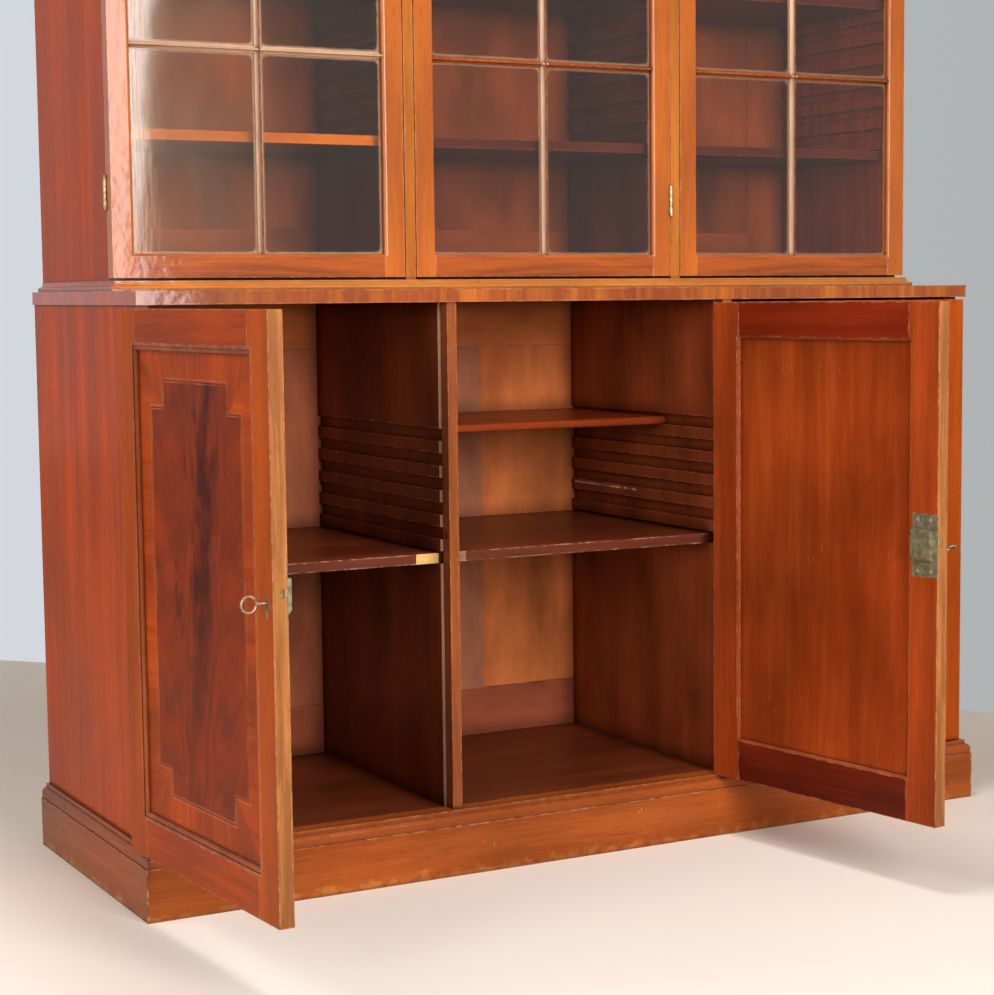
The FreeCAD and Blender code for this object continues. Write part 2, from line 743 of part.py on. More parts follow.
def door_strips(centre, width, case_front, door_front, foot, head, doors):
    """Upright strips between the doors: the middle door hangs on one and the bolts shoot into them."""
    strips = []
    for side in (-1, 1):
        x = side * centre
        strip = box(x - width / 2, x + width / 2, door_front, case_front, foot, head)
        strip = make_room_for_hinges(strip, [doors["middle"]])
        for door in doors.values():
            strip = strip.cut(strike(door))
        strips.append(strip)
    return strips


def make_plinth():
    half, front, thick = plinth_width / 2, plinth_front, plinth_board
    front_board = box(-half, half, front, front + thick, 0, plinth_height)
    side = box(half - thick, half, front, back_plane, 0, plinth_height)
    left_side = side.mirror(Vector(0, 0, 0), Vector(1, 0, 0))
    right_corner, left_corner = Vector(half, front, 0), Vector(-half, front, 0)
    front_board = trim(front_board, right_corner, Vector(1, 1, 0))
    front_board = trim(front_board, left_corner, Vector(-1, 1, 0))
    side = trim(side, right_corner, Vector(-1, -1, 0))
    left_side = trim(left_side, left_corner, Vector(1, -1, 0))
    save("plinth_boards", [front_board, left_side, side])
    inner_front, inner_back = front + thick, back_plane - thick
    inner = half - thick
    bearer_top = floor_level - floor_board
    bearers = [box(-inner, inner, inner_back, back_plane, 0, plinth_height)]
    for x in (-bearer_spacing, 0.0, bearer_spacing):
        x0, x1 = x - bearer_width / 2, x + bearer_width / 2
        bearer = box(x0, x1, inner_front, inner_back, 0, bearer_top)
        bearers.append(bearer.cut(box(x0, x1, inner_front, lower_front, plinth_height, bearer_top)))
    save("plinth_bearers", bearers)
    blocks = []
    for side_sign in (-1, 1):
        for y, inward in ((inner_front, 1), (inner_back, -1)):
            x = side_sign * inner
            block = box(x, x - side_sign * glue_block, y, y + inward * glue_block, 0, glue_block_height)
            corner = Vector(x - side_sign * glue_block, y, 0)
            blocks.append(trim(block, corner, Vector(-side_sign, inward, 0)))
    save("plinth_glue_blocks", blocks)
    save("plinth_moulding", plinth_moulding(half))


def plinth_moulding(half):
    """Lip, hollow and top fillet; the front length is deep enough to reach back to the case."""
    lip, rise, cove = plinth_lip_setback, plinth_lip_height, plinth_cove_depth
    height, fillet = plinth_moulding_height, plinth_fillet
    depth = lower_front - plinth_front
    section = chain([(-depth, 0), (-lip, 0), (-lip, rise), (-lip - cove, height - fillet, -0.2),
                     (-lip - cove, height), (-depth, height)])
    lengths = wrap_three_sides(section, half, plinth_front, back_plane, plinth_height)
    case = box(-lower_half, lower_half, lower_front, back_plane, 0, lower_head)
    return [length.cut(case) for length in lengths]


def make_lower_case():
    doors = lower_doors
    centre = strip_centre(lower_width, lower_strip)
    inner = lower_half - side_board
    floor = box(-inner - housing_depth, inner + housing_depth, lower_front, back_face,
                floor_level - floor_board, floor_level)
    half_partition = partition_board / 2
    for x in (-centre, centre):
        floor = floor.cut(box(x - half_partition, x + half_partition, lower_front, back_face,
                              floor_level - housing_depth, floor_level))
    save("lower_floor_board", floor)
    save("lower_sides", side_boards(lower_half, lower_front, plinth_height, lower_head, floor_level,
                                    lower_first_groove, lower_groove_count, doors))
    save("lower_partitions", partitions(centre, lower_front, floor_level - housing_depth, lower_head,
                                        lower_first_groove, lower_groove_count))
    save("lower_door_strips", door_strips(centre, lower_strip, lower_front, lower_door_front,
                                          floor_level, lower_head, doors))
    members, panels = framed_back(lower_half, plinth_height, lower_head, lower_bottom_rail_top,
                                  lower_head - lower_back_top_rail)
    save("lower_back_frame", members)
    save("lower_back_panels", panels)
    half_top = lower_half + lower_top_overhang
    top_front = lower_door_front - lower_top_overhang
    edge = lower_top_edging
    save("lower_top_board", box(-half_top + edge, half_top - edge, top_front + edge, back_plane,
                                lower_head, lower_height))
    section = chain([(-edge, 0), (0, 0), (0, lower_top_board), (-edge, lower_top_board)])
    save("lower_top_edging", wrap_three_sides(section, half_top, top_front, back_plane, lower_head))
    faces = [(-inner, -centre - half_partition), (-centre + half_partition, centre - half_partition),
             (centre + half_partition, inner)]
    front = lower_front + lower_shelf_setback
    shelves = []
    for left, right in faces:
        x0, x1 = shelf_span(left, right)
        shelves.append(box(x0, x1, front, back_face - shelf_end_gap, lower_first_groove,
                           lower_first_groove + shelf_board))
    save("lower_shelves", shelves)
    save("lower_half_shelf", half_shelf(faces[1]))


def half_shelf(bay):
    x0, x1 = shelf_span(*bay)
    back = back_face - shelf_end_gap
    low = lower_first_groove + (lower_groove_count - 1) * groove_pitch
    board = box(x0, x1, back - half_shelf_depth, back, low, low + half_shelf_board)
    high = low + half_shelf_board
    front_edges = edges_on(board, back - half_shelf_depth, (x0 - edge_margin, x1 + edge_margin),
                           (low - edge_margin, high + edge_margin))
    long_edges = [edge for edge in front_edges if edge.Length > 2 * half_shelf_board]
    return board.makeFillet(half_shelf_rounding, long_edges)


def make_upper_case():
    doors = upper_doors
    centre = strip_centre(upper_width, upper_strip)
    inner = upper_half - side_board
    first = lower_height + upper_first_groove
    half_partition = partition_board / 2
    floor = box(-inner - housing_depth, inner + housing_depth, upper_front, back_face,
                upper_floor_level - floor_board, upper_floor_level)
    head_board = box(-inner - housing_depth, inner + housing_depth, upper_front, back_face,
                     upper_head - floor_board, upper_head)
    for x in (-centre, centre):
        low, high = x - half_partition, x + half_partition
        floor = floor.cut(box(low, high, upper_front, back_face, upper_floor_level - housing_depth,
                              upper_floor_level))
        head_board = head_board.cut(box(low, high, upper_front, back_face, upper_head - floor_board,
                                        upper_head - floor_board + housing_depth))
    save("upper_floor_board", floor)
    save("upper_top_board", head_board)
    save("upper_sides", side_boards(upper_half, upper_front, lower_height, upper_head, upper_floor_level,
                                    first, upper_groove_count, doors, floor_board))
    save("upper_partitions", partitions(centre, upper_front, upper_floor_level - housing_depth,
                                        upper_head - floor_board + housing_depth, first, upper_groove_count))
    save("upper_door_strips", door_strips(centre, upper_strip, upper_front, upper_door_front,
                                          lower_height + base_moulding_height, upper_head, doors))
    members, panels = framed_back(upper_half, lower_height, upper_head,
                                  lower_height + upper_back_bottom_rail, upper_head - upper_back_top_rail)
    save("upper_back_frame", members)
    save("upper_back_panels", panels)
    shelves = []
    front = upper_front + upper_shelf_setback
    bays = [(-inner, -centre - half_partition), (-centre + half_partition, centre - half_partition),
            (centre + half_partition, inner)]
    for left, right in bays:
        x0, x1 = shelf_span(left, right)
        for level in upper_shelf_levels:
            low = first + level * groove_pitch
            shelves.append(box(x0, x1, front, back_face - shelf_end_gap, low, low + shelf_board))
    save("upper_shelves", shelves)
    save("upper_base_moulding", base_moulding())
    save("cornice", cornice())


def base_moulding():
    """Ogee that hides the joint between the two cases."""
    half = upper_half + base_moulding_projection
    front = upper_door_front - base_moulding_front
    height, slope = base_moulding_height, base_moulding_slope
    depth = upper_front - front
    foot, fillet = base_moulding_foot, height - base_moulding_fillet
    section = chain([(-depth, 0), (0, 0), (0, foot), (-slope / 2, (foot + fillet) / 2, -0.22),
                     (-slope, fillet, 0.22), (-slope, height), (-depth, height)])
    lengths = wrap_three_sides(section, half, front, back_plane, lower_height)
    case = box(-upper_half, upper_half, upper_front, back_plane, 0, upper_head)
    return [length.cut(case) for length in lengths]


def cornice():
    """Fascia, bead, bed mould, soffit, cyma and square top, mitred at the two front corners."""
    height, out, fascia, bead = cornice_height, cornice_projection, cornice_fascia, cornice_bead
    bed_out, bed_top, soffit_out = cornice_bed_projection, cornice_bed_top, cornice_soffit_projection
    cyma_foot, cyma_top = cornice_cyma_foot, height - cornice_fillet
    seat = cornice_seat + upper_front - upper_door_front
    middle = ((soffit_out + out) / 2, (cyma_foot + cyma_top) / 2)
    section = chain([(-seat, 0), (0, 0), (0, fascia), (bead, fascia), (bead, fascia + bead),
                     (bed_out, bed_top, 0.2), (soffit_out, bed_top), (soffit_out, cyma_foot),
                     (middle[0], middle[1], 0.2), (out, cyma_top, -0.2), (out, height), (-seat, height)])
    lengths = wrap_three_sides(section, upper_half, upper_door_front, back_plane, upper_head)
    clear = box(-upper_half + cornice_seat, upper_half - cornice_seat, upper_front + cornice_seat,
                back_plane, upper_head, upper_head + height)
    return [length.cut(clear) for length in lengths]


def make_hinges(case, doors):
    fixed, moving = hinge_leaves()
    case_leaves = []
    for side, door in doors.items():
        name = case + "_" + side
        case_leaves += [hang(fixed, door, level) for level in door["hinge_levels"]]
        leaves = [at_rest(name, door, hang(moving, door, level)) for level in door["hinge_levels"]]
        save(name + "_door_hinges", leaves)
    save(case + "_case_hinges", case_leaves)


def make_locks(case, doors, keyed_doors):
    for side, door in doors.items():
        name = case + "_" + side
        key_plate = plate_outline(door, 0, plate_board).cut(keyhole(door, plate_board))
        lock = [at_rest(name, door, make_lock(door)), at_rest(name, door, key_plate)]
        key_angle = keyed_doors.get(name, 0.0)
        bolt = at_rest(name, door, make_bolt(door, key_angle))
        if name in keyed_doors:
            key = make_key(door)
            key.rotate(keyed(door, 0, 0, 0), Vector(0, door["lock_side"], 0), key_angle)
            save(name + "_key", at_rest(name, door, key))
            save(name + "_bolt", bolt)
        else:
            lock.append(bolt)
        save(name + "_lock", lock)


def make_lower_doors():
    for side, door in lower_doors.items():
        name = "lower_" + side
        x0, x1 = door["x0"] + lower_stile, door["x1"] - lower_stile
        z0, z1 = door["foot"] + lower_bottom_rail, door["head"] - lower_top_rail
        face = door["front"] + panel_recess
        gap = panel_edge_gap
        panel = box(x0 + gap, x1 - gap, face, face + panel_board, z0 + gap, z1 - gap)
        moulding = wrap_opening(panel_moulding_section(), x0, x1, door["front"], z0, z1)
        save(name + "_door_frame", [at_rest(name, door, piece) for piece in panelled_frame(door)])
        save(name + "_door_panel", at_rest(name, door, panel))
        save(name + "_door_moulding", [at_rest(name, door, piece) for piece in moulding])


def make_upper_doors():
    for side, door in upper_doors.items():
        name = "upper_" + side
        ring = glazed_ring(door)
        stiles, rails = split_frame(ring, door, upper_stile, upper_rail, upper_rail, glass_rebate)
        save(name + "_door_frame", fit_lock_and_hinges(stiles, door) + rails)
        save(name + "_door_bars", glazing_bars(door, ring))
        save(name + "_door_panes", glass_panes(door))


os.makedirs("parts", exist_ok=True)
make_plinth()
make_lower_case()
make_upper_case()
make_lower_doors()
make_upper_doors()
make_hinges("lower", lower_doors)
make_hinges("upper", upper_doors)
make_locks("lower", lower_doors, {"lower_left": 0.0, "lower_middle": middle_key_angle})
make_locks("upper", upper_doors, {})
print("overall height", upper_head + cornice_height)
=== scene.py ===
import json
import math
from functools import partial
import bpy
from mathutils import Matrix, Vector


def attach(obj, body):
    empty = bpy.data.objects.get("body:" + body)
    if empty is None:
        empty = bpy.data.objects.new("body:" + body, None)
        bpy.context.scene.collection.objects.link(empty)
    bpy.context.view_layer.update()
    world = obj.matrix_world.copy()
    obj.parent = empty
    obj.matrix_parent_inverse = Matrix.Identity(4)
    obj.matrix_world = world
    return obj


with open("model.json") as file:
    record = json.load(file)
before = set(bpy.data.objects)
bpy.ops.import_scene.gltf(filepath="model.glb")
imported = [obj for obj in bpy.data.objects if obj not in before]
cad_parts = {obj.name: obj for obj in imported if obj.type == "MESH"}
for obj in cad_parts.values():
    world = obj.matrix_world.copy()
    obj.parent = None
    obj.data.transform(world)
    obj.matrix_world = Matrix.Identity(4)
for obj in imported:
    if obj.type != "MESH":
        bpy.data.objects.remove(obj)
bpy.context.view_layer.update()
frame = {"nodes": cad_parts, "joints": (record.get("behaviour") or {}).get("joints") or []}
nodes = frame["nodes"]
scene = bpy.context.scene

# camera, lights and stage

shot = {"place": (-1.719169, -3.187819, 0.892946), "yaw": 29.443, "pitch": 5.545, "roll": 0.469,
        "lens": 78.43, "shift": (-0.0665, 0.00524)}
lamps = {
    "softbox": {"place": (-0.2, -3.3, 1.6), "aim": (0.0, 0.0, 0.9), "size": (1.3, 1.8),
                "power": 40, "spread": 110},
    "sideLamp": {"place": (-3.4, -1.9, 1.5), "aim": (-0.6, -0.2, 0.7), "size": (1.2, 1.4),
                 "power": 20, "spread": 150},
    "ceiling": {"place": (-0.35, -0.55, 3.3), "aim": (-0.3, -0.7, 0.0), "size": (0.6, 0.6),
                "power": 28, "spread": 180},
    "window": {"place": (-2.7, 0.4, 2.5), "aim": (-1.7, 0.3, 0.0), "size": (1.2, 1.2),
               "power": 17, "spread": 150}}
studio = {"sky": 0.3, "skyColour": "#fffaf2", "beyond": "#ccd0d4",
          "floorColour": "#faefe2", "floorReach": 9.0,
          "wallLeft": "#d4d8de", "wallRight": "#b0b4b5", "wallFoot": ((-0.325, 2.136), (1.313, 0.324)),
          "wallReach": 1.34, "wallHeight": 3.2, "wallRadius": 0.03, "wallLift": 0.0005}


def hexColour(code):
    parts = [int(code[i:i + 2], 16) / 255 for i in (1, 3, 5)]
    return [p / 12.92 if p <= 0.04045 else ((p + 0.055) / 1.055) ** 2.4 for p in parts] + [1.0]


def addNode(tree, kind, inputs=None, **settings):
    # an input is a value, a socket, or a node, which stands for its first output in use
    node = tree.nodes.new(kind)
    for name, value in settings.items():
        setattr(node, name, value)
    for key, value in (inputs or {}).items():
        if isinstance(value, bpy.types.Node):
            value = next(s for s in value.outputs if s.enabled)
        if isinstance(value, bpy.types.NodeSocket):
            tree.links.new(value, node.inputs[key])
        else:
            node.inputs[key].default_value = value
    return node


def newMaterial(name):
    material = bpy.data.materials.new(name)
    material.use_nodes = True
    material.node_tree.nodes.clear()
    return material, material.node_tree


def meshObject(name, verts, faces):
    mesh = bpy.data.meshes.new(name)
    mesh.from_pydata(verts, [], faces)
    mesh.update()
    thing = bpy.data.objects.new(name, mesh)
    scene.collection.objects.link(thing)
    return thing


def makeCamera():
    yaw, pitch, roll = (math.radians(shot[k]) for k in ("yaw", "pitch", "roll"))
    ahead = Vector((math.sin(yaw) * math.cos(pitch), math.cos(yaw) * math.cos(pitch), -math.sin(pitch)))
    right = Vector((math.cos(yaw), -math.sin(yaw), 0))
    down = ahead.cross(right)
    tiltedRight = math.cos(roll) * right + math.sin(roll) * down
    tiltedDown = -math.sin(roll) * right + math.cos(roll) * down
    data = bpy.data.cameras.new("camera")
    data.sensor_fit, data.sensor_width, data.lens = "HORIZONTAL", 36, shot["lens"]
    data.shift_x, data.shift_y = shot["shift"]
    camera = bpy.data.objects.new("camera", data)
    turn = Matrix((tiltedRight, -tiltedDown, -ahead)).transposed()
    camera.matrix_world = Matrix.Translation(shot["place"]) @ turn.to_4x4()
    scene.collection.objects.link(camera)
    scene.camera = camera


def makeLamps():
    for name, lamp in lamps.items():
        data = bpy.data.lights.new(name, "AREA")
        data.shape, data.energy = "RECTANGLE", lamp["power"]
        data.size, data.size_y = lamp["size"]
        data.spread = math.radians(lamp["spread"])
        light = bpy.data.objects.new(name, data)
        light.location = lamp["place"]
        aim = Vector(lamp["aim"]) - Vector(lamp["place"])
        light.rotation_euler = aim.to_track_quat("-Z", "Y").to_euler()
        light.visible_camera = False
        scene.collection.objects.link(light)


def backgroundRays(tree):
    # the camera's rays, and those that a surface reflects sharply or lets through, see the pale background
    add = partial(addNode, tree)
    rays = add("ShaderNodeLightPath").outputs
    seen = add("ShaderNodeMath", {0: rays["Is Camera Ray"], 1: rays["Is Glossy Ray"]}, operation="MAXIMUM")
    return add("ShaderNodeMath", {0: seen, 1: rays["Is Transmission Ray"]}, operation="MAXIMUM")


def makeWorld():
    world = bpy.data.worlds.new("studio")
    world.use_nodes = True
    tree = world.node_tree
    tree.nodes.clear()
    add = partial(addNode, tree)
    # reading the direction makes Cycles sample the even sky as a lamp, so the cases stay dim behind the panes
    up = add("ShaderNodeSeparateXYZ", {0: add("ShaderNodeTexCoord").outputs["Generated"]}).outputs[2]
    even = add("ShaderNodeMapRange", {0: up, 3: studio["sky"], 4: studio["sky"]})
    fill = add("ShaderNodeBackground", {"Color": hexColour(studio["skyColour"]), "Strength": even})
    beyond = add("ShaderNodeBackground", {"Color": hexColour(studio["beyond"]), "Strength": 1.0})
    mix = add("ShaderNodeMixShader", {0: backgroundRays(tree), 1: fill, 2: beyond})
    add("ShaderNodeOutputWorld", {0: mix})
    scene.world = world


def makeFloor():
    reach = studio["floorReach"]
    corners = [(-reach, -reach, 0), (reach, -reach, 0), (reach, reach, 0), (-reach, reach, 0)]
    floor = meshObject("floor", corners, [(0, 1, 2, 3)])
    material, tree = newMaterial("paperFloor")   # matt background paper, faintly uneven
    add = partial(addNode, tree)
    spot = add("ShaderNodeTexCoord").outputs["Object"]
    cloud = add("ShaderNodeTexNoise", {"Vector": spot, "Scale": 0.8, "Detail": 2.0})
    tone = add("ShaderNodeMapRange", {0: cloud, 1: 0.3, 2: 0.7, 3: 0.96, 4: 1.0})
    plain = hexColour(studio["floorColour"])[:3]
    colour = add("ShaderNodeVectorMath", {0: plain, 3: tone}, operation="SCALE")
    paint = add("ShaderNodeBsdfDiffuse", {"Color": colour})
    add("ShaderNodeOutputMaterial", {0: paint})
    floor.data.materials.append(material)
    return floor


def makeWall():
    # rolled out of the floor by a quarter turn of small radius, in ten steps
    a, b = (Vector((*p, 0)) for p in studio["wallFoot"])
    along = (b - a).normalized()
    back = Vector((-along.y, along.x, 0))
    middle, reach, radius = (a + b) / 2, studio["wallReach"], studio["wallRadius"]
    profile = [(radius * (math.sin(t) - 1), radius * (1 - math.cos(t)) + studio["wallLift"])
               for t in (math.radians(9 * k) for k in range(11))]
    profile.append((0, studio["wallHeight"]))
    verts = [tuple(middle + along * end + back * out + Vector((0, 0, up)))
             for out, up in profile for end in (-reach, reach)]
    faces = [(2 * i, 2 * i + 1, 2 * i + 3, 2 * i + 2) for i in range(len(profile) - 1)]
    wall = meshObject("backdrop", verts, faces)
    material, tree = newMaterial("paperWall")   # grey-blue paper that darkens to the right; clear from behind
    add = partial(addNode, tree)
    spot = add("ShaderNodeTexCoord").outputs["Object"]
    sideways = add("ShaderNodeVectorMath", {0: spot, 1: tuple(along)}, operation="DOT_PRODUCT")
    fade = add("ShaderNodeMapRange", {0: sideways.outputs["Value"], 1: a.dot(along), 2: b.dot(along)},
               interpolation_type="SMOOTHSTEP")
    left, right = hexColour(studio["wallLeft"]), hexColour(studio["wallRight"])
    colour = add("ShaderNodeMix", {0: fade, 6: left, 7: right}, data_type="RGBA")
    paint = add("ShaderNodeBsdfDiffuse", {"Color": colour})
    shown = add("ShaderNodeEmission", {"Color": colour, "Strength": 1.0})
    mixed = add("ShaderNodeMixShader", {0: backgroundRays(tree), 1: paint, 2: shown})
    clear = add("ShaderNodeBsdfTransparent")
    behind = add("ShaderNodeNewGeometry").outputs["Backfacing"]
    oneSided = add("ShaderNodeMixShader", {0: behind, 1: mixed, 2: clear})
    add("ShaderNodeOutputMaterial", {0: oneSided})
    wall.data.materials.append(material)
    return wall


makeCamera()
makeLamps()
makeWorld()
floor, wall = makeFloor(), makeWall()
scene.view_settings.view_transform = "Standard"
print("camera, lamps and stage")

# places: each door's own millimetres, across from its hinge edge, back from its face, up from the ground

hingeJoints = [joint for joint in frame["joints"] if joint["name"].endswith("_door_hinge")]
pivots = {joint["child"]: joint["pos_m"] for joint in hingeJoints}
doorSizes = {"lower": {"width": 481.8, "foot": 102, "head": 875.5, "stile": 59.0, "thick": 21.0,
                       "topRail": 58.0, "chamfer": 4.0},
             "upper": {"width": 470.8, "foot": 919, "head": 2220, "stile": 34.0, "thick": 22.0}}
doors = {"lower_left": {"opened": -86.2, "flip": 1, "edge": 1.6, "face": -21.35},
         "lower_middle": {"opened": 99.0, "flip": -1, "edge": 0.35, "face": 1.6},
         "lower_right": {"opened": 0.0, "flip": -1, "edge": 1.6, "face": -21.35},
         "upper_left": {"opened": 0.0, "flip": 1, "edge": 1.6, "face": -22.35},
         "upper_middle": {"opened": 0.0, "flip": -1, "edge": 0.35, "face": 1.6},
         "upper_right": {"opened": 0.0, "flip": -1, "edge": 1.6, "face": -22.35}}
for name, door in doors.items():
    door.update(doorSizes[name.split("_")[0]])


def doorPoint(name, across, depth, height):
    door = doors[name]
    pivot = pivots[name + "_door"]
    local = Vector((door["flip"] * (across + door["edge"]), depth + door["face"], 0)) / 1000
    turned = Matrix.Rotation(math.radians(door["opened"]), 3, "Z") @ local
    return Vector((pivot[0] + turned.x, pivot[1] + turned.y, height / 1000))


def placeVector(tree, place):
    # millimetres of the whole bookcase, or of the door that is named
    add = partial(addNode, tree)
    spot = add("ShaderNodeTexCoord").outputs["Object"]
    if place is None:
        return add("ShaderNodeVectorMath", {0: spot, 3: 1000.0}, operation="SCALE")
    door = doors[place]
    back = -math.radians(door["opened"])
    pivot = Matrix.Rotation(back, 3, "Z") @ Vector(pivots[place + "_door"]) * 1000
    turned = add("ShaderNodeMapping", {"Vector": spot, "Location": (-pivot.x, -pivot.y, 0),
                                       "Rotation": (0, 0, back), "Scale": (1000, 1000, 1000)})
    corner = (-door["edge"], -door["face"], 0)
    return add("ShaderNodeVectorMath", {0: turned, 1: (door["flip"], 1, 1), 2: corner},
               operation="MULTIPLY_ADD")


# mahogany: what every board shares

# millimetres across and along the grain; the pores are drawn wider than real ones, to show
figure = {"broad": (52.0, 900.0), "ribbon": (12.0, 280.0), "fibre": (2.6, 80.0), "pores": (1.9, 15.0)}
weight = {"broad": 1.6, "ribbon": 2.4, "fibre": 0.7}   # how much each layer counts in the tone
drift = {"sway": (150.0, 380.0), "swayReach": 26.0, "cloud": (120.0, 260.0)}
wear = {"arris": 0.0011, "worn": 0.0032, "crevice": 0.007, "corner": 0.03,   # metres
        "chips": 15.0, "fleck": (2.6, 13.0), "cluster": 90.0, "pools": 24.0,   # millimetres
        "fadeGrain": 22.0, "fadeReach": 30.0, "brokenGrain": 7.0, "colour": "#e6b48c"}


def addSockets(group, inputs, outputs):
    for way, sockets in (("INPUT", inputs), ("OUTPUT", outputs)):
        for name, kind in sockets.items():
            group.interface.new_socket(name, in_out=way, socket_type="NodeSocket" + kind)


def perMillimetre(across, along):
    return (1 / across, 1 / across, 1 / along)


def woodFigure():
    group = bpy.data.node_groups.new("mahoganyFigure", "ShaderNodeTree")
    add = partial(addNode, group)
    addSockets(group, {"Grain": "Vector", "Light": "Color", "Dark": "Color", "Ribbon": "Float",
                       "Patina": "Float"}, {"Color": "Color", "Roughness": "Float", "Height": "Float"})
    given = add("NodeGroupInput").outputs
    slow, blotchy = (add("ShaderNodeVectorMath", {0: given["Grain"], 1: perMillimetre(*drift[name])},
                         operation="MULTIPLY") for name in ("sway", "cloud"))
    sway = add("ShaderNodeTexNoise", {"Vector": slow, "Scale": 1.0, "Detail": 1.0}).outputs["Color"]
    reach = (drift["swayReach"], drift["swayReach"], 0)
    swayed = add("ShaderNodeVectorMath", {0: sway, 1: reach, 2: given["Grain"]}, operation="MULTIPLY_ADD")
    layers = {}
    for name, size in figure.items():
        scaled = add("ShaderNodeVectorMath", {0: swayed, 1: perMillimetre(*size)}, operation="MULTIPLY")
        layers[name] = add("ShaderNodeTexNoise", {"Vector": scaled, "Scale": 1.0, "Detail": 2.5,
                                                  "Roughness": 0.55})
    patches = add("ShaderNodeTexNoise", {"Vector": blotchy, "Scale": 1.0, "Detail": 3.0})
    level = add("ShaderNodeMath", {0: layers["broad"], 1: weight["broad"], 2: -0.6}, operation="MULTIPLY_ADD")
    ribbon = add("ShaderNodeMath", {0: layers["ribbon"], 1: -0.5}, operation="ADD")
    strength = add("ShaderNodeMath", {0: given["Ribbon"], 1: weight["ribbon"]}, operation="MULTIPLY")
    level = add("ShaderNodeMath", {0: ribbon, 1: strength, 2: level}, operation="MULTIPLY_ADD")
    fibre = add("ShaderNodeMath", {0: layers["fibre"], 1: -0.5}, operation="ADD")
    level = add("ShaderNodeMath", {0: fibre, 1: weight["fibre"], 2: level}, operation="MULTIPLY_ADD",
                use_clamp=True)
    # under patina the stripes fade and the face turns cloudy
    kept = add("ShaderNodeMath", {0: given["Patina"], 1: -0.7, 2: 1.0}, operation="MULTIPLY_ADD")
    level = add("ShaderNodeMath", {0: level, 1: -0.5}, operation="ADD")
    level = add("ShaderNodeMath", {0: level, 1: kept, 2: 0.5}, operation="MULTIPLY_ADD")
    colour = add("ShaderNodeMix", {0: level, 6: given["Dark"], 7: given["Light"]}, data_type="RGBA")
    pore = add("ShaderNodeMapRange", {0: layers["pores"], 1: 0.56, 2: 0.72})
    poreTone = add("ShaderNodeMapRange", {0: pore, 3: 1.0, 4: 0.78})
    reach = add("ShaderNodeMath", {0: given["Patina"], 1: 0.32, 2: 0.2}, operation="MULTIPLY_ADD")
    patchTone = add("ShaderNodeMapRange", {0: patches, 1: 0.3, 2: 0.7, 3: -1.0, 4: 1.0})
    patchTone = add("ShaderNodeMath", {0: patchTone, 1: reach, 2: 1.0}, operation="MULTIPLY_ADD")
    tone = add("ShaderNodeMath", {0: poreTone, 1: patchTone}, operation="MULTIPLY")
    colour = add("ShaderNodeVectorMath", {0: colour, 3: tone}, operation="SCALE")
    rough = add("ShaderNodeMapRange", {0: patches, 1: 0.3, 2: 0.7, 3: 0.32, 4: 0.46})
    rough = add("ShaderNodeMath", {0: pore, 1: 0.16, 2: rough}, operation="MULTIPLY_ADD")
    height = add("ShaderNodeMath", {0: pore, 1: -1.0, 2: layers["fibre"]}, operation="MULTIPLY_ADD")
    add("NodeGroupOutput", {"Color": colour, "Roughness": rough, "Height": height})
    return group


def arrisWear():
    # rubbed arrises show pale, and painted shade darkens the colour in corners and where boards meet
    group = bpy.data.node_groups.new("arrisWear", "ShaderNodeTree")
    add = partial(addNode, group)
    addSockets(group, {"Spot": "Vector", "Amount": "Float", "Flecks": "Float", "Crevice": "Float"},
               {"Worn": "Float", "Dirt": "Float", "Normal": "Vector"})
    given = add("NodeGroupInput").outputs
    soft = add("ShaderNodeBevel", {"Radius": wear["arris"]}, samples=2)
    wide = add("ShaderNodeBevel", {"Radius": wear["worn"]}, samples=3)
    flat = add("ShaderNodeNewGeometry").outputs["True Normal"]
    turn = add("ShaderNodeVectorMath", {0: wide, 1: flat}, operation="DOT_PRODUCT").outputs["Value"]
    edge = add("ShaderNodeMapRange", {0: turn, 1: 0.995, 2: 0.88})
    hidden = add("ShaderNodeAmbientOcclusion", {"Distance": given["Crevice"]}, samples=3).outputs["AO"]
    bare = add("ShaderNodeMapRange", {0: hidden, 1: 0.72, 2: 0.95})
    # painted shade: the colour darkens where nearby parts hem the surface in
    paintedShade = add("ShaderNodeMapRange", {0: hidden, 1: 0.9, 2: 0.45})
    chips = add("ShaderNodeTexNoise", {"Vector": given["Spot"], "Scale": 1 / wear["chips"], "Detail": 4.0,
                                       "Roughness": 0.65})
    chipped = add("ShaderNodeMapRange", {0: chips, 1: 0.44, 2: 0.62})
    worn = add("ShaderNodeMath", {0: edge, 1: bare}, operation="MULTIPLY")
    worn = add("ShaderNodeMath", {0: worn, 1: chipped}, operation="MULTIPLY")
    worn = add("ShaderNodeMath", {0: worn, 1: given["Amount"]}, operation="MULTIPLY", use_clamp=True)
    # knocks and scratches: a few pale flecks, longer than wide, in loose clusters
    stretched = add("ShaderNodeVectorMath", {0: given["Spot"], 1: perMillimetre(*wear["fleck"])},
                    operation="MULTIPLY")
    knocks = add("ShaderNodeTexNoise", {"Vector": stretched, "Scale": 1.0, "Detail": 1.0})
    knocks = add("ShaderNodeMapRange", {0: knocks, 1: 0.71, 2: 0.79})
    cluster = add("ShaderNodeTexNoise", {"Vector": given["Spot"], "Scale": 1 / wear["cluster"],
                                         "Detail": 1.0})
    cluster = add("ShaderNodeMapRange", {0: cluster, 1: 0.53, 2: 0.68, 4: 0.7})
    knocks = add("ShaderNodeMath", {0: knocks, 1: cluster}, operation="MULTIPLY")
    knocks = add("ShaderNodeMath", {0: knocks, 1: given["Flecks"]}, operation="MULTIPLY")
    worn = add("ShaderNodeMath", {0: worn, 1: knocks}, operation="MAXIMUM")
    add("NodeGroupOutput", {"Worn": worn, "Dirt": paintedShade, "Normal": soft})
    return group


